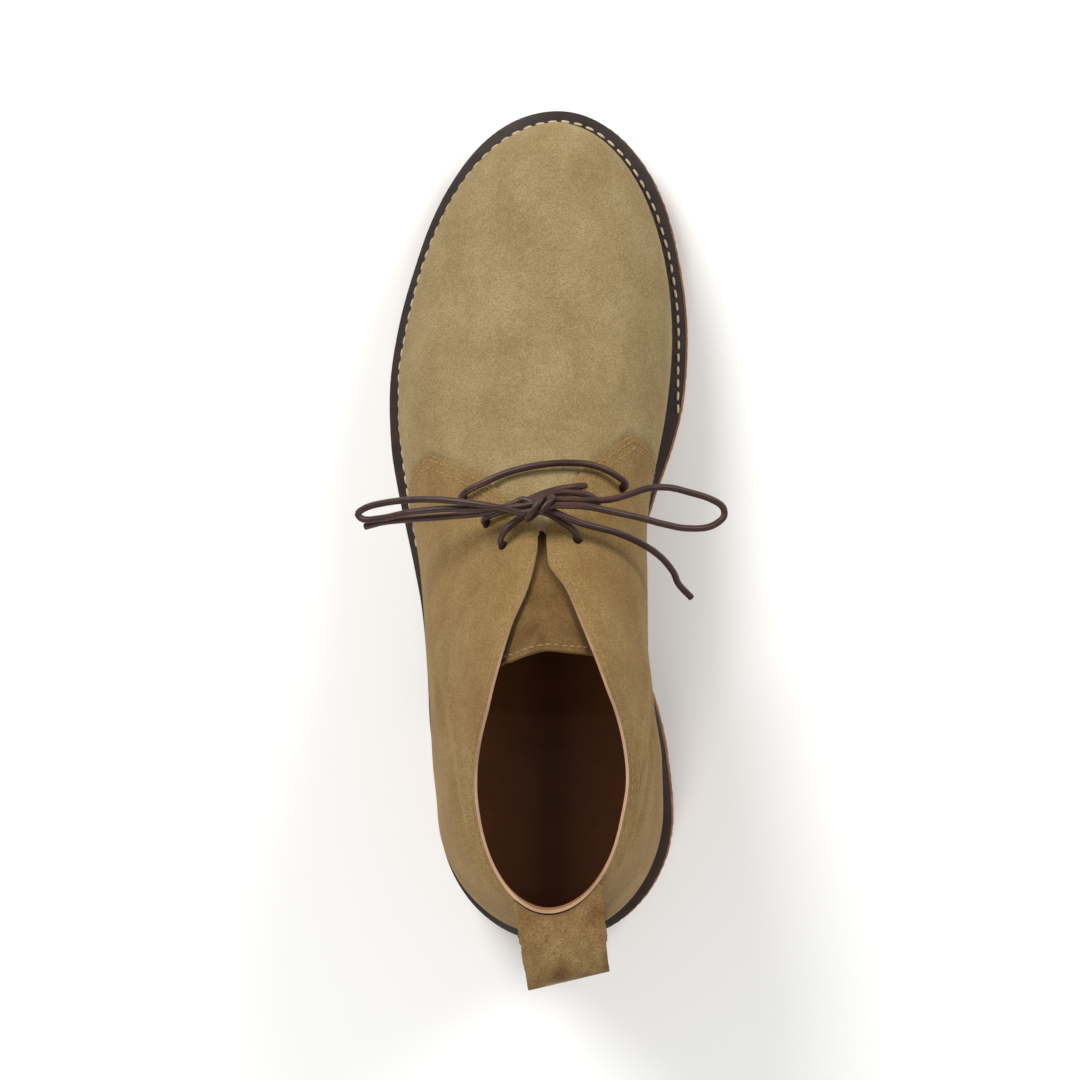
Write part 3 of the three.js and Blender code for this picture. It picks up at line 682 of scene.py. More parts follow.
# %% [markdown]
# The rings' steps are closest together at the back and at the toe, where the skin turns most. The
# points on the middle line are set on it exactly, so both halves meet there.

# %% The net itself
def skin_net():
    """Points and three-sided faces of the skin, ring by ring from the feather line up."""
    step, side = there_and_back(AROUND)
    share = (1 - np.cos(np.pi * step / AROUND)) / 2
    up = np.linspace(0, 1, RINGS + 1)
    around, up = np.meshgrid(share, up)
    view = side_view(around, up)
    along, height = view[..., 0], view[..., 1]
    x = surface_x(along, height, np.broadcast_to(side, along.shape))
    on_line = np.broadcast_to((step == 0) | (step == AROUND), along.shape)
    x = np.where(on_line, last["crest_x"](along), x)
    points = np.stack([x, along - HEEL_CENTRE, height], -1).reshape(-1, 3)
    count = 2 * AROUND
    k, i = np.meshgrid(np.arange(RINGS), np.arange(count), indexing="ij")
    j = (i + 1) % count
    a, b, c, d = k * count + i, k * count + j, (k + 1) * count + j, (k + 1) * count + i
    faces = np.concatenate([
        np.stack([a, b, c], -1).reshape(-1, 3), np.stack([a, c, d], -1).reshape(-1, 3)
    ])
    return points, faces


def ways_out(points, faces):
    """A net's own direction outward at each point."""
    corner = points[faces]
    face = np.cross(corner[:, 1] - corner[:, 0], corner[:, 2] - corner[:, 0])
    out = np.zeros_like(points)
    for k in range(3):
        np.add.at(out, faces[:, k], face)
    return out / np.maximum(1e-12, np.linalg.norm(out, axis=1))[:, None]


# %% [markdown]
# Every later step asks the skin two things: which way is out at a point, and which of its points
# lies nearest to another.

# %% The skin and its directions
skin_points, skin_faces = skin_net()
skin_out = ways_out(skin_points, skin_faces)
skin_tree = BVHTree.FromPolygons(skin_points.tolist(), skin_faces.tolist())
print("skin has", len(skin_points), "points, from", skin_points.min(0), "to", skin_points.max(0))


# %% [markdown]
# ## Cutting and lining the leather
# A clicker cuts panels from flat leather; here they are cut from the skin. A line is laid on the
# skin, each point gets its distance from that line, and the net is trimmed where the distance is
# nought. The new edge points lie exactly on the line, so an edge is smooth however the net runs.

# %% Distances from a line, and trimming
SEARCH = 30  # only points this near a leg of a line are measured from it


def distance_to(points, line, reach):
    """Each point's distance from a line of points, or reach if it's far off."""
    near = np.full(len(points), float(reach))
    for a, b in zip(line[:-1], line[1:]):
        leg = b - a
        low, high = np.minimum(a, b) - SEARCH, np.maximum(a, b) + SEARCH
        some = np.flatnonzero(((points > low) & (points < high)).all(1))
        if not len(some):
            continue
        off = points[some] - a
        along = np.clip(off @ leg / max(1e-9, leg @ leg), 0, 1)
        away = np.linalg.norm(off - along[:, None] * leg, axis=1)
        near[some] = np.minimum(near[some], away)
    return near


def trimmed(data, faces, field):
    """The part of a net where field is over nought. data's columns are carried to new points."""
    data = np.column_stack([data, field])
    over = field > 0
    inside = over[faces].sum(1)
    kept = [faces[inside == 3]]
    extra, made, new = [], {}, []

    def cut(a, b):
        key = (min(a, b), max(a, b))
        if key not in made:
            share = field[a] / (field[a] - field[b])
            made[key] = len(data) + len(extra)
            extra.append(data[a] + (data[b] - data[a]) * share)
        return made[key]

    for face in faces[(inside > 0) & (inside < 3)]:
        for turn in range(3):
            a, b, c = (int(v) for v in np.roll(face, -turn))
            if over[a] and not over[b] and not over[c]:
                new.append((a, cut(a, b), cut(c, a)))
                break
            if over[a] and over[b] and not over[c]:
                p, q = cut(b, c), cut(c, a)
                new += [(a, b, p), (a, p, q)]
                break
    if new:
        kept.append(np.array(new))
    faces = np.concatenate(kept)
    data = np.vstack([data, extra]) if extra else data
    used, faces = np.unique(faces, return_inverse=True)
    return data[used][:, :-1], faces.reshape(-1, 3)


# %% [markdown]
# A trimmed sheet becomes leather when it gets a second face and walls along its edges. The walls
# are marked, so that a cut edge can have a material of its own.

# %% Sheets with thickness
def rim_of(faces):
    """Directed edges that only one face has."""
    edges = np.concatenate([faces[:, [0, 1]], faces[:, [1, 2]], faces[:, [2, 0]]])
    keys = np.sort(edges, axis=1)
    _, first, count = np.unique(keys, axis=0, return_index=True, return_counts=True)
    return edges[first[count == 1]]


def thick(points, out, faces, outer, inner):
    """A sheet with thickness, and its faces' marks: 0 outside, 1 inside and 2 on cut edges."""
    top = points + out * np.broadcast_to(outer, len(points))[:, None]
    under = points + out * np.broadcast_to(inner, len(points))[:, None]
    count = len(points)
    rim = rim_of(faces)
    sides = np.concatenate([
        np.column_stack([rim[:, 0], rim[:, 0] + count, rim[:, 1] + count]),
        np.column_stack([rim[:, 0], rim[:, 1] + count, rim[:, 1]]),
    ])
    every = np.concatenate([faces, faces[:, ::-1] + count, sides])
    marks = np.concatenate([
        np.zeros(len(faces)), np.ones(len(faces)), np.full(len(sides), 2)
    ]).astype(int)
    return (np.vstack([top, under]), every), marks


def face_tree(points, out, rise, faces):
    """A sheet's outer face, for rows of stitches to lie on."""
    return BVHTree.FromPolygons((points + out * rise[:, None]).tolist(), faces.tolist())


# %% [markdown]
# The quarters' front edges are drawn on the plan from the facing's tip to a corner, and then run
# down the side to the welt. Seen round the section from the instep down, each is met only once at
# every angle, so comparing a point's station with the line's tells which side of it the point is on.

# %% The quarters' front edges
def angle_round(points):
    """How far round the section a point is, from 0 at the instep to about 1.57 at the welt."""
    along = points[:, 1] + HEEL_CENTRE
    foot, middle = foot_height(along), last["crest_x"](along)
    wide = np.abs(surface_x(along, foot + 1.0, side_at(points[:, 0], along)) - middle)
    level = (points[:, 2] - foot) / (crest(along) - foot)
    return np.arctan2(
        np.abs(points[:, 0] - middle) / np.maximum(wide, 1), np.maximum(level, 0)
    )


FRONT_EDGE = {
    -1: [(-3.4, 146.4), (-6.6, 150.2), (-10.4, 154.3), (-14.6, 158.2), (-20.1, 163),
         (-25.7, 166.5), (-35.2, 171.1), (-43.6, 174.4)],
    1: [(0.3, 148.2), (3.2, 153.6), (7.2, 160.8), (12, 168), (18.4, 172.7), (29.0, 180.8)],
}
SIDE_SEAM = {-1: [(164, 38), (150, 26), (139, 17.5)], 1: [(171, 40), (155, 26), (143, 16)]}


def edge_line(side):
    """A quarter's front edge on the skin, from the facing's tip down to the welt."""
    plan = np.array(FRONT_EDGE[side], float)
    top = over_plan(plan[:, 0], plan[:, 1])
    down = np.array(SIDE_SEAM[side], float)
    x = surface_x(down[:, 0], down[:, 1], side)
    low = np.column_stack([x, down[:, 0] - HEEL_CENTRE, down[:, 1]])
    straight = np.vstack([
        spaced(smooth_line(top), 1.0),
        spaced(smooth_line(np.vstack([top[-1], low])), 1.0)[1:],
    ])
    return settled(straight)[0]


def settled(points, tree=None):
    """The nearest points of a surface, and its directions out there."""
    found = [(tree or skin_tree).find_nearest(Vector(p)) for p in points]
    return np.array([f[0] for f in found]), np.array([f[1] for f in found])


# %% [markdown]
# Each point of the skin now gets its distance from the front edge on its own side: over nought on
# the quarter and under it on the vamp.

# %% Distances from the front edges
EDGE = {side: edge_line(side) for side in (-1, 1)}
side_of = side_at(skin_points[:, 0], skin_points[:, 1] + HEEL_CENTRE)
skin_angle = angle_round(skin_points)
front_field = np.zeros(len(skin_points))
for side, line in EDGE.items():
    mine = side_of == side
    turn = angle_round(line)
    order = np.argsort(turn)
    station = np.interp(skin_angle[mine], turn[order], line[order, 1])
    away = distance_to(skin_points[mine], line, reach=60)
    front_field[mine] = np.where(skin_points[mine, 1] < station, away, -away)
print("quarter front edges are", [round(length_of(l)) for l in EDGE.values()], "mm long")


# %% [markdown]
# The throat is the slot between the two facings. Three lace holes are punched on each side of it,
# 4 mm wide, square to the leather.

# %% The throat and the lace holes
THROAT_START, THROAT_END, THROAT_FOOT = 84.0, 147.0, 58
FAR_FROM_THROAT = 20.0


def throat_field(points):
    """Over nought on the leather, under it in the opening between the facings."""
    along = points[:, 1] + HEEL_CENTRE
    inside = np.minimum(
        points[:, 0] - throat["lateral"](along), throat["medial"](along) - points[:, 0]
    )
    field = np.maximum(-inside, along - THROAT_END)
    near = (points[:, 2] > THROAT_FOOT) & (along > THROAT_START)
    return np.where(near, field, FAR_FROM_THROAT)


HOLES = [
    (-29.9, 157.9), (-21.3, 149.0), (-15.2, 141.0), (25.9, 161.5), (16.8, 155.0), (10.6, 142.8),
]
HOLE_RADIUS, HOLE_REACH = 2.0, 12
hole_points = over_plan([h[0] for h in HOLES], [h[1] for h in HOLES])
hole_points, hole_out = settled(hole_points)


def hole_field(points):
    """Distance from the rim of the nearest lace hole, along the leather."""
    near = np.full(len(points), 1e3)
    for centre, out in zip(hole_points, hole_out):
        off = points - centre
        radial = off - (off @ out)[:, None] * out
        close = np.linalg.norm(off, axis=1) < HOLE_REACH
        near[close] = np.minimum(near[close], np.linalg.norm(radial[close], axis=1))
    return near - HOLE_RADIUS


# %% [markdown]
# ## Soft folds
# An empty suede boot that has been tried on keeps a few soft folds: a trough beside each collar
# edge, a long ridge down the outer quarter, a diagonal one over the inner heel, and little wrinkles
# where the lace pulls the facings. Each is one line on the plan with a depth and a width, worked
# into the skin as a soft swell, as a thumb would do it.

# %% Creases
CREASES = [  # name, points of the plan (x, station), height, half width
    ("collar_ridge_outer",
     [(-35, 96), (-33, 87), (-30, 69), (-27, 52), (-24, 34), (-18, 23)], 1.3, 2.0),
    ("collar_trough_outer", [(-38, 90), (-34, 69), (-31, 52), (-28, 36), (-22, 24)], -1.2, 3.0),
    ("collar_ridge_inner",
     [(34, 98), (33.6, 89), (32, 73), (31, 59), (30, 45), (26, 33)], 1.2, 2.0),
    ("collar_trough_inner", [(38, 88), (36.5, 73), (35.5, 59), (34, 45), (30, 33)], -1.1, 3.0),
    ("outer_ridge", [(-43, 120), (-41, 100), (-39, 88)], 0.8, 5.0),
    ("outer_hollow", [(-34, 128), (-33, 106), (-31, 98)], -0.6, 6.0),
    ("inner_heel_crease", [(38.6, 78), (35.5, 70), (33.3, 64), (31.8, 56)], -1.0, 1.1),
    ("inner_heel_swell", [(38, 68), (36, 60), (34, 50)], 0.4, 3.0),
    ("facing_pull_outer", [(-17, 143), (-26, 138), (-36, 135)], -0.5, 3.0),
    ("facing_pull_inner", [(13, 145), (22, 140), (30, 136)], -0.5, 3.0),
    ("vamp_break_outer", [(-44, 190), (-28, 186), (-12, 184)], -0.45, 5.0),
    ("vamp_break_inner", [(38, 192), (24, 188), (10, 186)], -0.4, 5.0),
    ("vamp_swell", [(-30, 200), (0, 198), (28, 201)], 0.35, 8.0),
]


FOLD_REACH = 60
UNEVEN, UNEVEN_WAVES, UNEVEN_LENGTH = 0.10, 14, 26.0


def swell(points):
    """How far the folds move each point out."""
    move = np.zeros(len(points))
    for _, plan, high, wide in CREASES:
        plan = np.array(plan, float)
        line = spaced(smooth_line(over_plan(plan[:, 0], plan[:, 1])), 3.0)
        move += high * np.exp(-((distance_to(points, line, FOLD_REACH) / wide) ** 2))
    rng = np.random.default_rng(7)
    for _ in range(UNEVEN_WAVES):  # the leather is never quite even
        wave = rng.normal(size=3) / UNEVEN_LENGTH
        move += UNEVEN * np.sin(points @ wave + rng.uniform(0, 6.28))
    return move


skin_swell = swell(skin_points)
print("folds move the skin from", skin_swell.min().round(2), "to", skin_swell.max().round(2), "mm")


# %% [markdown]
# ## Suede
# Suede is the split or flesh side of calf leather, buffed until the fibres stand up as a nap. The
# nap scatters light, so it's matt with a soft bright edge, which sheen gives. Where it was brushed
# one way it looks lighter, in clouds 9 to 14 mm across, with patches of 3.5 mm in them. Single
# tufts are about 0.1 mm, too fine to show, so the speckle is drawn at 0.6 mm. Leather's IOR is
# about 1.5 and the roughness near 1.

# %% Suede, in the shades of its panels
def suede(name, dark, middle, light, cloud_mm=14.0, nap=0.5):
    """nap is the speckle's share. dark, middle and light are the clouds' colours."""
    material, tree, place = start_material(name)
    brushed = node(tree, "ShaderNodeMapping", Vector=place, Scale=(1.0, 0.55, 0.8)).outputs[0]
    clouds = noise(tree, brushed, cloud_mm, 3.0, 0.55)
    patches = noise(tree, place, 3.5, 3.0, 0.6)
    base = ramp(tree, clouds, (0.32, dark), (0.5, middle), (0.68, light))
    base = shaded(tree, 0.28, base, patches, 0.35, "#dcd3c4", 0.65)
    tufts = noise(tree, place, 0.6, 2.0, 0.8)
    base = shaded(tree, nap, base, tufts, 0.4, "#a3947c", 0.6)
    fine = bumps(tree, tufts, 0.5, 0.0003)
    surface(
        tree, Base_Color=base, Roughness=0.95, IOR=1.5, Specular_IOR_Level=0.2,
        Sheen_Weight=0.08, Sheen_Roughness=0.5, Sheen_Tint=linear("#e6d3ae"),
        Normal=bumps(tree, patches, 0.25, 0.0006, Normal=fine),
    )
    return material


VAMP_SUEDE = suede("calf_suede_vamp", "#8f7c55", "#97845d", "#9e8c66")
QUARTER_SUEDE = suede("calf_suede_quarter", "#896c42", "#907549", "#977d51", nap=0.55)
# The tongue's colours are much darker than the vamp's: painted shade, for the shadow that lies in the
# slot under the facings.
TONGUE_SUEDE_PAINTED_SHADE = suede("calf_suede_tongue_painted_shade", "#5e4524", "#6e532f", "#7a6038", cloud_mm=9.0)
LOOP_SUEDE = suede("calf_suede_loop", "#6f5230", "#856a43", "#977d53", cloud_mm=9.0, nap=0.6)


# %% [markdown]
# ## Lining and cut edges
# The lining is vegetable-tanned calf, dyed tan, with its grain side out: smooth, a little shiny and
# finely pored. Real pores are about 0.3 mm apart, and are drawn at 0.6 mm. Where suede and lining
# are cut at the topline, the raw edge shows paler, because dye doesn't reach the leather's middle.

# %% Lining and cut edge
def lining_leather(name, dark, light, roughness=0.6):
    material, tree, place = start_material(name)
    base = ramp(tree, noise(tree, place, 18.0, 3.0), (0.35, dark), (0.65, light))
    pores = node(
        tree, "ShaderNodeTexVoronoi", {"feature": "F1"}, Vector=place, Scale=1 / (0.6 * MM)
    ).outputs["Distance"]
    surface(
        tree, Base_Color=base, Roughness=roughness, IOR=1.5,
        Normal=bumps(tree, pores, 0.12, 0.0002),
    )
    return material


LINING = lining_leather("tan_calf_lining", "#8f6440", "#a37650")
CUT_EDGE = lining_leather("raw_leather_edge", "#a17c60", "#b8957a", roughness=0.85)


INSOLE_HALF_WIDTH = 36


def insole_leather():
    """Brown footbed leather, darker down the middle and paler towards its sides."""
    material, tree, place = start_material("brown_insole_leather")
    x = node(tree, "ShaderNodeSeparateXYZ", Vector=place).outputs["X"]
    side = node(tree, "ShaderNodeMath", {"operation": "ABSOLUTE"}, _0=x).outputs[0]
    share = node(
        tree, "ShaderNodeMath", {"operation": "DIVIDE"}, _0=side, _1=INSOLE_HALF_WIDTH * MM
    ).outputs[0]
    darker_middle = ramp(tree, share, (0.05, "#6b3f1a"), (0.85, "#b8804f"))
    clouds = noise(tree, place, 16.0, 3.0)
    base = shaded(tree, 0.6, darker_middle, clouds, 0.35, "#d8cfc6", 0.65)
    surface(tree, Base_Color=base, Roughness=0.6, IOR=1.5)
    return material


INSOLE_LEATHER = insole_leather()


# %% [markdown]
# ## The panels
# Vamp and quarters are cut from the skin. The quarters overlap the vamp by 12 mm and are 1.1 mm
# thick; the vamp dips under them. The lining lies inside both. Each is one sheet with a real cut
# edge, and the lace holes are punched right through. Leather is pared thinner beside the collar and
# the facings, and a soft pad under the collar swells the lining in at the back.

# %% Pared edges and the collar's pad
PARED_OVER = 7.0  # the leather is pared over this width
COLLAR_FRONT = 96  # in front of this station there is no collar
FAR_BELOW = 60.0
PAD, PAD_DEEP, PAD_FRONT, PAD_FADE = 2.0, 12.0, 24, 26


def pared(points):
    """1 on the edges of the collar and facings, falling to 0 where the leather is whole."""
    along = points[:, 1] + HEEL_CENTRE
    below = np.where(along < COLLAR_FRONT, rim_height(along) - points[:, 2], FAR_BELOW)
    near = np.clip(np.minimum(throat_field(points), below), 0, PARED_OVER)
    return (1 - near / PARED_OVER) ** 2


def collar_pad(points):
    """How far a soft pad pushes the lining in, below the collar at the back."""
    along = points[:, 1] + HEEL_CENTRE
    deep = np.clip(rim_height(along) - points[:, 2], 0, FAR_BELOW) / PAD_DEEP
    back_share = np.exp(-((np.maximum(along - PAD_FRONT, 0) / PAD_FADE) ** 2))
    return PAD * deep * np.exp(1 - deep) * back_share


# %% [markdown]
# A panel is trimmed along one line after another, and then given its thickness. Two functions say
# how high its outer and inner faces stand on the skin at each point.

# %% Cut a panel
def cut_panel(name, fields, outer, inner, materials):
    """outer and inner take the points and their front distances. Gives the outer face's tree."""
    data = np.column_stack([skin_points, skin_out, skin_swell, front_field])
    faces = skin_faces
    for field in fields:
        data, faces = trimmed(data, faces, field(data))
    points, out, move, front = data[:, :3], data[:, 3:6], data[:, 6], data[:, 7]
    out = unit(out)
    rise = move + outer(points, front)
    low = move + inner(points, front)
    solid, marks = thick(points, out, faces, rise, low)
    mesh_piece(name, solid, materials, ["upper"], marks, sharp=50)
    return face_tree(points, out, rise, faces)


def on_quarter(shift):
    """Over nought behind a line that lies a shift in front of the quarters' front edge."""
    return lambda data: data[:, 7] + shift


def over_throat(data):
    return throat_field(data[:, :3])


def over_holes(data):
    return hole_field(data[:, :3])


# %% [markdown]
# Near its front edge a quarter lies on the vamp's underlap, and behind that on the skin. The lining
# reaches 8 mm further forward than the quarters do.

# %% The vamp, the quarters and the lining
UNDERLAP, LINING_REACH = 12.0, 8.0
VAMP_DIP, DIP_START, DIP_LENGTH, VAMP_WALL = 0.75, 0.2, 3.0, 1.0
LAPPED, LAP_END, LAP_FADE = 0.35, 8, 10
PARED_OFF, QUARTER_WALL, PARED_SHIFT = 0.75, 1.1, 0.2
LINING_OUTER, LINING_INNER, LINING_PARED = 1.15, 2.0, 0.25


def vamp_height(points, front):
    """The vamp dips where it goes in under a quarter."""
    return -VAMP_DIP * np.clip(1 - (-front - DIP_START) / DIP_LENGTH, 0, 1) ** 2


def quarter_height(points, front):
    """A quarter stands higher where it laps over the vamp."""
    lap = LAPPED * np.clip(1 - (front - LAP_END) / LAP_FADE, 0, 1)
    return lap - PARED_OFF * pared(points)


def quarter_inside(points, front):
    thin = pared(points)
    return quarter_height(points, front) * (1 - thin) - QUARTER_WALL - PARED_SHIFT * thin


def on_side(side):
    """Over nought on one side of the last's middle line."""
    return lambda data: side * (
        data[:, 0] - last["crest_x"](data[:, 1] + HEEL_CENTRE)
    ) + 1e-6


cut_panel(
    "vamp", [lambda data: UNDERLAP - data[:, 7], over_throat, over_holes],
    vamp_height, lambda points, front: vamp_height(points, front) - VAMP_WALL,
    [VAMP_SUEDE, LINING, CUT_EDGE],
)
quarter_trees = {
    side: cut_panel(
        "quarter_" + word, [on_quarter(0), on_side(side), over_throat, over_holes],
        quarter_height, quarter_inside, [QUARTER_SUEDE, QUARTER_SUEDE, CUT_EDGE],
    )
    for side, word in ((-1, "lateral"), (1, "medial"))
}
cut_panel(
    "quarter_lining", [on_quarter(LINING_REACH), over_throat, over_holes],
    lambda points, front: -LINING_OUTER - PARED_SHIFT * pared(points),
    lambda points, front: -LINING_INNER + LINING_PARED * pared(points) - collar_pad(points),
    [LINING, LINING, CUT_EDGE],
)


# %% [markdown]
# ## The tongue
# The tongue grows out of the vamp and goes up behind the facings, to a curved top edge with one row
# of stitches. It is a sheet that follows the last a few millimetres inside the quarters, with a low
# hump along its middle where it bears on the foot.

# %% Tongue
TONGUE = table(
    ("along", "depth", "lateral", "medial"),
    [
        (95, 4.6, 20, 23), (110, 4.3, 21, 23.5), (125, 3.5, 21, 20), (140, 3.2, 21, 17),
        (155, 3.2, 21, 17), (172, 3.2, 22, 18),
    ],
)
TONGUE_TOP = table(
    ("x", "along"),
    [(-23, 98.9), (-14, 104.2), (-6, 107), (3.4, 108.2), (10, 107.8), (18, 106.3), (24, 104.5)],
)
TONGUE_FRONT, TONGUE_MIDDLE = 172, 108
TONGUE_ROWS, TONGUE_ACROSS = 110, 80
HUMP, HUMP_WIDTH, HUMP_LENGTH = 0.9, 7.0, 26
TONGUE_WALL, TONGUE_PARED, TONGUE_PARED_OVER = 1.7, 0.8, 5
tongue = {name: column(TONGUE, name) for name in TONGUE}
tongue_top = column(TONGUE_TOP, "along", "x")


def grid_faces(rows, across):
    """Three-sided faces of a net of rows."""
    faces = []
    for i in range(rows - 1):
        for j in range(across - 1):
            a = i * across + j
            faces += [(a, a + 1, a + across + 1), (a, a + across + 1, a + across)]
    return np.array(faces)


def tongue_sheet():
    """The tongue's net, with the height and the thickness of the leather at each point."""
    u = np.linspace(0, 1, TONGUE_ROWS)[:, None]
    share = np.linspace(1, 0, TONGUE_ACROSS)[None, :]
    level = TONGUE_FRONT + (TONGUE_MIDDLE - TONGUE_FRONT) * u
    x = -tongue["lateral"](level) * (1 - share) + tongue["medial"](level) * share
    along = TONGUE_FRONT + (tongue_top(x) - TONGUE_FRONT) * u
    x, along = x.ravel(), along.ravel()
    points = over_plan(x, along)
    faces = grid_faces(TONGUE_ROWS, TONGUE_ACROSS)
    out = ways_out(points, faces)
    if out[:, 2].mean() < 0:
        faces, out = faces[:, ::-1], -out
    centre = np.exp(-((x / HUMP_WIDTH) ** 2))
    from_top = along - tongue_top(x)
    rise = -tongue["depth"](along) + HUMP * centre * np.clip(1 - from_top / HUMP_LENGTH, 0, 1)
    wall = TONGUE_WALL - TONGUE_PARED * np.clip(1 - from_top / TONGUE_PARED_OVER, 0, 1) ** 2
    return points, out, faces, rise, wall


t_points, t_out, t_faces, t_rise, t_wall = tongue_sheet()
solid, marks = thick(t_points, t_out, t_faces, t_rise, t_rise - t_wall)
mesh_piece(
    "tongue_leather", solid, [TONGUE_SUEDE_PAINTED_SHADE, LINING, TONGUE_SUEDE_PAINTED_SHADE], ["tongue"], marks,
    sharp=50,
)
tongue_tree = face_tree(t_points, t_out, t_rise, t_faces)


# %% [markdown]
# ## The pull loop
# A strip of suede, doubled, is stitched into the collar at the back, folded over, and stitched
# down the back seam. The strip is a sheet along a line seen from the side. It follows the heel's
# curve where it's sewn on, and stands free in between. Its edges are raw and a little uneven. The
# last number of each point of its line says how closely it follows the heel there, from 0 to 1.

# %% Pull loop
STRAP = [
    (12.6, 116, 1), (14.1, 121.3, 1), (12.0, 124.5, 0.9), (3.4, 125.0, 0.35), (-4.4, 121.5, 0.1),
    (-7.2, 113.5, 0), (-6.6, 104, 0.1), (-2.8, 94, 0.4), (1.7, 84.5, 0.9), (3.0, 77, 1),
    (1.8, 68, 1), (0.7, 60, 1),
]
STRAP_WIDTH, STRAP_WALL, STRAP_TOP_X, STRAP_SKEW, STRAP_TURN = 27.5, 1.8, 4.6, 3.7, 0.24
SEWN_WIDER, STRAP_STEP, STRAP_ACROSS = 1.8, 0.9, 50
RAGGED_STEP, RAGGED_MOST, RAGGED_FROM = 0.12, 0.5, 0.4
WRAP_SCALE = 30  # makes the wrap's numbers count in the line's spacing


def heel_curve(x, height):
    """How far forward the heel's surface has curved beside the back seam."""
    side = side_at(x, 10.0)
    near = back(height) + 0.0 * x
    level = height + 0 * x
    found = halved(
        near, near + HEEL_ROUND, lambda at: (surface_x(at, level, side) - x) * side < 0, 30
    )
    return found - back(height)


def strap_sheet():
    """The strip's net, row by row from inside the collar to the foot of the back seam."""
    line = spaced(smooth_line([(w * WRAP_SCALE, a, h) for a, h, w in STRAP]), STRAP_STEP)
    rng = np.random.default_rng(3)
    edge = np.cumsum(rng.normal(size=(len(line), 2)) * RAGGED_STEP, axis=0)
    edge -= np.linspace(0, 1, len(line))[:, None] * edge[-1]
    edge = np.clip(edge, -RAGGED_MOST, RAGGED_MOST)
    span = np.linspace(-0.5, 0.5, STRAP_ACROSS)
    rows = []
    for (wrap, along, height), (left, right) in zip(line, edge):
        wrap /= WRAP_SCALE
        fold = 1 - wrap
        off = (STRAP_WIDTH + SEWN_WIDER * wrap) * span + left * (span < -RAGGED_FROM)
        off = off + right * (span > RAGGED_FROM)
        x = STRAP_TOP_X + STRAP_SKEW * fold + off
        forward = wrap * heel_curve(x, height) + STRAP_TURN * fold * off
        level = np.full(STRAP_ACROSS, height)
        rows.append(np.column_stack([x, along + forward - HEEL_CENTRE, level]))
    return np.vstack(rows), grid_faces(len(line), STRAP_ACROSS)


s_points, s_faces = strap_sheet()
s_out = ways_out(s_points, s_faces)
solid, marks = thick(s_points, s_out, s_faces, STRAP_WALL / 2, -STRAP_WALL / 2)
mesh_piece("pull_strap", solid, [LOOP_SUEDE] * 3, ["pull_loop"], marks, sharp=50)


# %% [markdown]
# ## The sole
# Below the upper lie three layers: a dark strip of leather, the welt, whose edge is waxed and
# polished; the midsole, dyed to match; and crepe, which is raw natural rubber in crinkled sheets,
# with an amber edge that is slightly ragged. Each is a slab with the same outline, moved out a
# little. The dense outline keeps the toe's curve smooth, and a low swell breaks up the crepe's edge.

# %% Outline of the sole
SOLE_STEPS = 260
CREPE_FLARE, CREPE_MEDIAL_FLARE, MIDSOLE_FLARE, WELT_TUCK = 0.6, 0.8, 0.7, 9.0


def sole_outline():
    """The sole's edge seen from above, up the inner side and down the outer side."""
    step, side = there_and_back(SOLE_STEPS)
    along = (SOLE_BACK + SOLE_TOE) / 2 - (SOLE_TOE - SOLE_BACK) / 2 * np.cos(
        math.pi * step / SOLE_STEPS
    )
    wide = np.where(side > 0, sole["medial"](along), sole["lateral"](along))
    heel = round_off(1 - (along - SOLE_BACK) / (HEEL_ROUND - SOLE_BACK))
    toe = round_off(1 - (SOLE_TOE - along) / (SOLE_TOE - LAST_TOE + TOE_ROUND))
    x = SOLE_TOE_OFFSET * along / SOLE_TOE + side * wide * heel * toe
    return np.column_stack([x, along])


def outline_out(plan):
    """An outline's own direction outward at each point."""
    way = unit(np.roll(plan, -1, axis=0) - np.roll(plan, 1, axis=0))
    return np.column_stack([way[:, 1], -way[:, 0]])


# %% [markdown]
# A layer is the outline moved out by a little and set at a height, several times over. Both may
# change round the outline, so either can be a number or a function.

# %% Rings of the sole
def moved_out(plan, outward):
    """An outline moved out, by one distance or by a function of the direction outward."""
    out = outline_out(plan)
    amount = outward(out) if callable(outward) else outward
    return plan + out * np.broadcast_to(amount, len(plan))[:, None]


def ring(plan, height_at, outward):
    """An outline at a height, or at a height that depends on the place along the foot."""
    moved = moved_out(plan, outward)
    height = height_at(moved[:, 1]) if callable(height_at) else np.full(len(plan), height_at)
    return np.column_stack([moved[:, 0], moved[:, 1] - HEEL_CENTRE, height])


def ring_solid(rings, closed=False):
    """Points and faces of a solid between rings. A slab's ends are covered from side to side."""
    count = len(rings[0])
    faces = bands(len(rings), count, closed)
    if not closed:
        last_ring = (len(rings) - 1) * count
        for i in range(count // 2):
            a, b, c, d = i, i + 1, count - i - 1, (count - i) % count
            quad = [v for k, v in enumerate((a, b, c, d)) if v not in (a, b, c, d)[:k]]
            if len(quad) > 2:
                faces.append(tuple(quad[::-1]))
                faces.append(tuple(last_ring + v for v in quad))
    return np.vstack(rings), faces


# %% [markdown]
# The layers are stacked down from the feather line: the welt, then the midsole, then crepe. The
# crepe's edge flares out a little, most on the inner side, and never runs quite true.

# %% Heights of the layers, and the crepe's edge
WELT_WALL, MIDSOLE_WALL = 2.5, 2.7
RAGGED_WAVES, RAGGED_SIZE, RAGGED_SHARE = (41, 67, 97, 149, 211), 0.18, 2.5
OUTLINE = sole_outline()


def welt_top(y):
    return sole["feather"](y)


def midsole_top(y):
    return welt_top(y) - WELT_WALL


def crepe_top(y):
    return midsole_top(y) - MIDSOLE_WALL


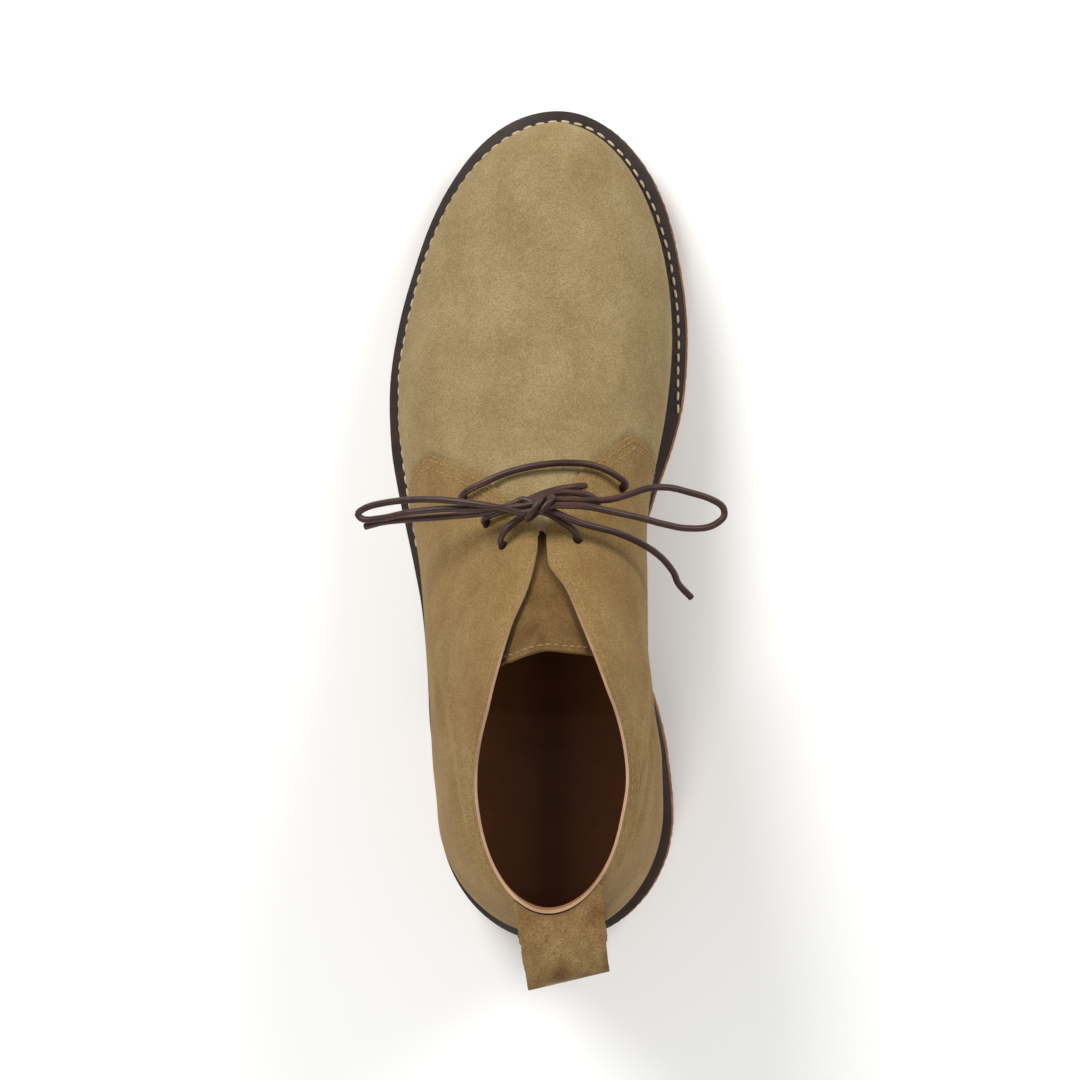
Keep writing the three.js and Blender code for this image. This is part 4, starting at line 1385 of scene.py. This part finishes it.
def ragged(seed):
    """A small uneven swell along an outline, as crumbled rubber has."""
    rng = np.random.default_rng(seed)
    t = np.linspace(0, 2 * math.pi, len(OUTLINE), endpoint=False)
    total = np.zeros(len(OUTLINE))
    for waves in RAGGED_WAVES:
        total += rng.uniform(0.4, 1.0) * np.sin(waves * t + rng.uniform(0, 6.28))
    return RAGGED_SIZE * total / RAGGED_SHARE


def crepe_edge(seed, shift=0.0):
    """How far out the crepe's edge stands, in each direction."""
    return lambda out: (
        CREPE_FLARE + CREPE_MEDIAL_FLARE * np.maximum(0, out[:, 0]) + shift + ragged(seed)
    )


# %% [markdown]
# Crepe is translucent raw rubber, with an IOR of 1.52 and a crinkled grain about 1.5 mm across.
# The leather layers have a burnished, waxed edge: half matt, with an IOR of 1.5, and with fine
# layers half a millimetre thick.

# %% Crepe, midsole and welt materials
def crepe_rubber():
    material, tree, place = start_material("natural_crepe_rubber")
    clouds = noise(tree, place, 10.0, 4.0)
    base = ramp(tree, clouds, (0.3, "#7c4a1e"), (0.5, "#8f5a28"), (0.7, "#a26b35"))
    grain = noise(tree, place, 1.5, 4.0, 0.65)
    base = shaded(tree, 0.6, base, grain, 0.35, "#9a8e80", 0.6)
    surface(
        tree, Base_Color=base, Roughness=0.7, IOR=1.52, Normal=bumps(tree, grain, 0.7, 0.0006)
    )
    return material


def waxed_edge(name, dark, light):
    material, tree, place = start_material(name)
    base = ramp(tree, noise(tree, place, 7.0, 4.0), (0.35, dark), (0.65, light))
    layers = node(tree, "ShaderNodeMapping", Vector=place, Scale=(0.25, 0.25, 1.0)).outputs[0]
    lines = noise(tree, layers, 0.5, 3.0, 0.6)
    surface(
        tree, Base_Color=base, Roughness=0.5, IOR=1.5, Specular_IOR_Level=0.3,
        Normal=bumps(tree, lines, 0.35, 0.0003),
    )
    return material


CREPE = crepe_rubber()
WELT_LEATHER = waxed_edge("burnished_welt_leather", "#20140f", "#2e1f18")
MIDSOLE_LEATHER = waxed_edge("burnished_midsole_leather", "#1e120d", "#2b1c15")

# %% [markdown]
# The outsole runs the whole length, 6 to 9 mm thick, with edges broken over a little at top and
# bottom. The heel is a block of the same crepe under it, cut off straight at the breast.

# %% Outsole
outsole_rings = [
    ring(OUTLINE, sole["tread"], crepe_edge(11, -0.6)),
    ring(OUTLINE, lambda y: sole["tread"](y) + 0.8, crepe_edge(11, -0.1)),
    ring(OUTLINE, lambda y: sole["tread"](y) + 2.4, crepe_edge(12)),
    ring(OUTLINE, lambda y: crepe_top(y) - 1.6, crepe_edge(13)),
    ring(OUTLINE, lambda y: crepe_top(y) - 0.5, crepe_edge(14, -0.1)),
    ring(OUTLINE, crepe_top, crepe_edge(14, -0.5)),
]
mesh_piece("crepe_outsole", ring_solid(outsole_rings), [CREPE], ["outsole"], sharp=55)

# %% Heel
HEEL_BREAST = 78
HEEL_RINGS = [  # height, how far the edge is moved out, seed of its unevenness
    (0.0, -0.6, 21), (0.7, -0.1, 21), (2.5, 0, 22), (8.0, 0, 23), (13.5, 0, 24),
    (16.6, 0, 25), (17.2, -0.3, 25),
]


def heel_solid():
    """The rings are open at the breast, so each is ordered to start and end there."""
    keep = np.flatnonzero(OUTLINE[:, 1] <= HEEL_BREAST)
    first = int(np.flatnonzero(np.diff(keep) > 1)[0]) + 1
    rings = [
        np.roll(ring(OUTLINE, height, crepe_edge(seed, shift))[keep], -first, axis=0)
        for height, shift, seed in HEEL_RINGS
    ]
    count = len(rings[0])
    faces = bands(len(rings), count)
    top = (len(rings) - 1) * count
    for i in range(count // 2):
        a, b, c, d = i, i + 1, count - i - 2, count - i - 1
        if b < c:
            faces.append((d, c, b, a))
            faces.append((top + a, top + b, top + c, top + d))
    return np.vstack(rings), faces


mesh_piece("crepe_heel", heel_solid(), [CREPE], ["heel"], sharp=55)

# %% [markdown]
# The midsole's edge stands out a little past the welt's. The welt is a flat ring that goes in under
# the upper, so its inner edge follows the feather line and its outer edge follows the sole.

# %% Midsole and welt
midsole_rings = [
    ring(OUTLINE, lambda y: midsole_top(y) - 2.4, 0.4),
    ring(OUTLINE, lambda y: midsole_top(y) - 2.0, MIDSOLE_FLARE),
    ring(OUTLINE, lambda y: midsole_top(y) - 0.4, MIDSOLE_FLARE),
    ring(OUTLINE, midsole_top, 0.4),
]
mesh_piece(
    "leather_midsole", ring_solid(midsole_rings), [MIDSOLE_LEATHER], ["midsole"]
)
FEATHER = skin_points[: 2 * AROUND, :2] + (0, HEEL_CENTRE)


def closed_up(plan):
    """An outline with its first point again at its end, and the distances along it."""
    closed = np.vstack([plan, plan[:1]])
    return closed, run_along(closed)


def feather_ring(inward, height_at):
    """A ring inside the upper's foot, whose points pair with the outline's."""
    _, outer_run = closed_up(OUTLINE)
    closed, run = closed_up(moved_out(FEATHER, -inward))
    plan = points_at(closed, run, outer_run[:-1] / outer_run[-1] * run[-1])
    return np.column_stack([plan[:, 0], plan[:, 1] - HEEL_CENTRE, height_at(plan[:, 1])])


welt_rings = [
    ring(OUTLINE, lambda y: welt_top(y) - 2.2, -0.1),
    ring(OUTLINE, lambda y: welt_top(y) - 1.8, 0.0),
    ring(OUTLINE, lambda y: welt_top(y) - 0.4, 0.0),
    ring(OUTLINE, welt_top, -0.5),
    feather_ring(WELT_TUCK, welt_top),
    feather_ring(WELT_TUCK, lambda y: welt_top(y) - 2.2),
]
mesh_piece(
    "welt_strip", ring_solid(welt_rings, closed=True), [WELT_LEATHER], ["welt"]
)

# %% [markdown]
# The insole is shown as the CAD has it, in its own leather.

# %% Insole
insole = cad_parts["insole"]
insole.data.materials.clear()
insole.data.materials.append(INSOLE_LEATHER)


# %% [markdown]
# ## Stitches
# A lock stitch shows as a row of short, round-ended lengths of thread that sink into the leather at
# both ends. Each row runs a set distance in from an edge, so it is found by moving the edge's line
# inwards over the surface. All stitches of a thread are one mesh, made by copying one small
# capsule along the row. Thread is bonded polyester, IOR 1.55, with a slight sheen.

# %% Thread and stitch rows
CAPSULE_SIDES = 8
CAPSULE = [  # station along a stitch and fatness there, as shares of its length and thickness
    (-0.5, 0.12), (-0.42, 0.65), (-0.25, 0.95), (0, 1), (0.25, 0.95), (0.42, 0.65), (0.5, 0.12),
]
LEAN = 0.05  # how unevenly the stitches are turned, in radians


def thread(name, colour, roughness=0.6):
    material, tree, place = start_material(name)
    twist = noise(tree, place, 1.2, 2.0)
    base = shaded(tree, 0.5, linear(colour), twist, 0.3, "#b5b0a8", 0.7)
    surface(tree, Base_Color=base, Roughness=roughness, IOR=1.55)
    return material


WELT_THREAD = thread("waxed_welt_thread", "#c9b698")
UPPER_THREAD = thread("bonded_upper_thread", "#957a50", 0.8)


def capsule(long, wide, high):
    """One stitch along X, whose ends dip: points and faces."""
    turn = np.linspace(0, 2 * math.pi, CAPSULE_SIDES, endpoint=False)
    rings = [
        np.column_stack([
            np.full(CAPSULE_SIDES, at * long), 0.5 * wide * fat * np.cos(turn),
            high * (fat - 1) * 0.6 + 0.5 * high * fat * np.sin(turn),
        ])
        for at, fat in CAPSULE
    ]
    faces = bands(len(rings), CAPSULE_SIDES)
    return np.vstack(rings), capped(faces, len(rings), CAPSULE_SIDES)


def stitches(name, rows, material, slot_name, pitch, long, wide, high, sink=0.1):
    """Rows are (line, ways out) pairs. A stitch is laid every pitch along each."""
    rng = np.random.default_rng(5)
    shape, shape_faces = capsule(long, wide, high)
    laid = []
    for line, out in rows:
        run = run_along(line)
        for at in np.arange(pitch / 2, run[-1] - pitch / 2, pitch):
            ends = [points_at(line, run, at + d) for d in (-long / 2, long / 2)]
            up = points_at(out, run, at)
            way = ends[1] - ends[0]
            way /= np.linalg.norm(way)
            up -= way * (up @ way)
            up /= np.linalg.norm(up)
            across_way = np.cross(up, way)
            lean = rng.normal() * LEAN
            way = way * math.cos(lean) + across_way * math.sin(lean)
            across_way = np.cross(up, way)
            centre = (ends[0] + ends[1]) / 2 + up * (high * 0.5 - sink)
            laid.append((
                centre + shape[:, :1] * way + shape[:, 1:2] * across_way + shape[:, 2:] * up,
                shape_faces,
            ))
    mesh_piece(name, joined(laid), [material])


# %% [markdown]
# The welt's row lies just outside the widest part of the upper, as a stitcher's guide would hold
# it. So the row starts from how far the belly stands out over the foot.

# %% The welt's stitches
BELLY_RINGS, SMOOTH_OVER = 60, 12  # rings that the belly lies in, and points each side to average
ROW_OUT, ROW_MEDIAL_OUT, ROW_POINTS = 1.5, 0.8, 900
ROW_MEDIAL_START, ROW_LATERAL_START = 190, 140


def overhang():
    """How far the upper's belly stands out past its foot, all round."""
    net = skin_points.reshape(RINGS + 1, 2 * AROUND, 3)[:BELLY_RINGS, :, :2] + (0, HEEL_CENTRE)
    past = ((net - FEATHER) * outline_out(FEATHER)).sum(-1).max(0)
    window = 2 * SMOOTH_OVER + 1
    wrapped = np.pad(past, SMOOTH_OVER, mode="wrap")
    return np.convolve(wrapped, np.ones(window) / window, mode="valid")


def welt_row():
    """From the lateral waist round the toe to the medial ball, just outside the belly."""
    plan = moved_out(FEATHER, lambda out: overhang() + ROW_OUT + ROW_MEDIAL_OUT * out[:, 0])
    closed, run = closed_up(plan)
    around = points_at(closed, run, np.linspace(0, run[-1], ROW_POINTS, endpoint=False))
    medial = (around[:, 0] > 0) & (around[:, 1] > ROW_MEDIAL_START)
    lateral = (around[:, 0] <= 0) & (around[:, 1] > ROW_LATERAL_START)
    keep = around[medial | lateral]
    line = np.column_stack([keep[:, 0], keep[:, 1] - HEEL_CENTRE, welt_top(keep[:, 1])])
    return line, np.tile([0, 0, 1.0], (len(line), 1))


welt_line, welt_up = welt_row()
print("welt row runs", round(length_of(welt_line)), "mm")
stitches(
    "welt_stitches", [(welt_line, welt_up)], WELT_THREAD, "edge_leather",
    pitch=4.7, long=3.4, wide=1.05, high=0.8,
)


# %% [markdown]
# A quarter has two rows along its front edge, one down its facing and one under the topline. The
# tongue has one along its top edge. All are sewn with the same stitch.

# %% Rows on the upper
FRONT_ROWS, EDGE_ROW = (1.7, 4.5), 2.6  # distances in from an edge
FACING_START, FACING_END, ON_FACING = 90, 140, 0.05
RIM_ROW_END = 92
UPPER_STITCH = {"pitch": 2.9, "long": 2.1, "wide": 0.62, "high": 0.45, "sink": 0.12}


def shifted(line, distance, tree, toward):
    """A row a distance in from a line, on a surface. toward is a point the row moves towards."""
    _, out = settled(line, tree)
    inward = np.cross(out, unit(np.gradient(line, axis=0)))
    if ((toward - line.mean(0)) @ inward.mean(0)) < 0:
        inward = -inward
    return settled(line + unit(inward) * distance, tree)


upper_rows = []
for side, tree in quarter_trees.items():
    for distance in FRONT_ROWS:
        inside = np.array([side * 34.0, 80.0, 70.0])
        upper_rows.append(shifted(EDGE[side][3:], distance, tree, inside))
    along = np.arange(FACING_START, FACING_END, 1.0)
    x = throat["lateral" if side < 0 else "medial"](along) + side * ON_FACING
    facing, _ = settled(over_plan(x, along), tree)
    upper_rows.append(shifted(facing, EDGE_ROW, tree, np.array([side * 40.0, 60.0, 90.0])))

top_ring = skin_points[-2 * AROUND:]
rim_along = top_ring[:, 1] + HEEL_CENTRE
for side, tree in quarter_trees.items():
    mine = (side_at(top_ring[:, 0], rim_along) == side) & (rim_along < RIM_ROW_END)
    rim_line = top_ring[mine]
    rim_line = spaced(rim_line[np.argsort(rim_line[:, 1])], 1.0)
    upper_rows.append(settled(rim_line - np.array([0, 0, EDGE_ROW]), tree))
stitches("upper_stitches", upper_rows, UPPER_THREAD, "suede", **UPPER_STITCH)

top_edge = (t_points + t_out * t_rise[:, None])[-TONGUE_ACROSS:]
tongue_row = shifted(
    spaced(top_edge[4:-4], 1.0), EDGE_ROW, tongue_tree, np.array([0, 120.0, 90.0])
)
stitches("tongue_stitches", [tongue_row], UPPER_THREAD, "suede", **UPPER_STITCH)


# %% [markdown]
# ## Floor and light
# The boot stands on a plain pale floor. Large soft lights from above and all round leave only a
# faint shadow under it, as in a light tent.

# %% Floor and lights
def pale_floor():
    material, tree, _ = start_material("pale_floor_paint")
    surface(tree, Base_Color=linear("#f4f4f2"), Roughness=0.9, IOR=1.5)
    return material


floor_mesh = bpy.data.meshes.new("floor")
floor_mesh.from_pydata([(-4, -4, 0), (4, -4, 0), (4, 4, 0), (-4, 4, 0)], [], [(0, 1, 2, 3)])
floor_mesh.materials.append(pale_floor())
floor = bpy.data.objects.new("floor", floor_mesh)
bpy.context.collection.objects.link(floor)


LAMP_SIZE, LAMP_AIM = 0.9, Vector((0, 0.1, 0.05))


def soft_light(name, place, power):
    """A round lamp that is turned to the boot."""
    lamp = bpy.data.lights.new(name, "AREA")
    lamp.shape = "DISK"
    lamp.size = LAMP_SIZE
    lamp.energy = power
    holder = bpy.data.objects.new(name, lamp)
    bpy.context.collection.objects.link(holder)
    holder.location = place
    holder.rotation_euler = (LAMP_AIM - Vector(place)).to_track_quat("-Z", "Y").to_euler()


soft_light("toe_side", (-0.9, 1.3, 1.3), 30)
soft_light("toe_other_side", (1.2, 1.1, 1.3), 20)
soft_light("heel", (-0.3, -1.5, 1.2), 14)
world = bpy.data.worlds.new("light_tent")
world.use_nodes = True
world.node_tree.nodes["Background"].inputs["Color"].default_value = (1, 1, 1, 1)
world.node_tree.nodes["Background"].inputs["Strength"].default_value = 0.4
bpy.context.scene.world = world
bpy.context.scene.view_settings.view_transform = "Standard"
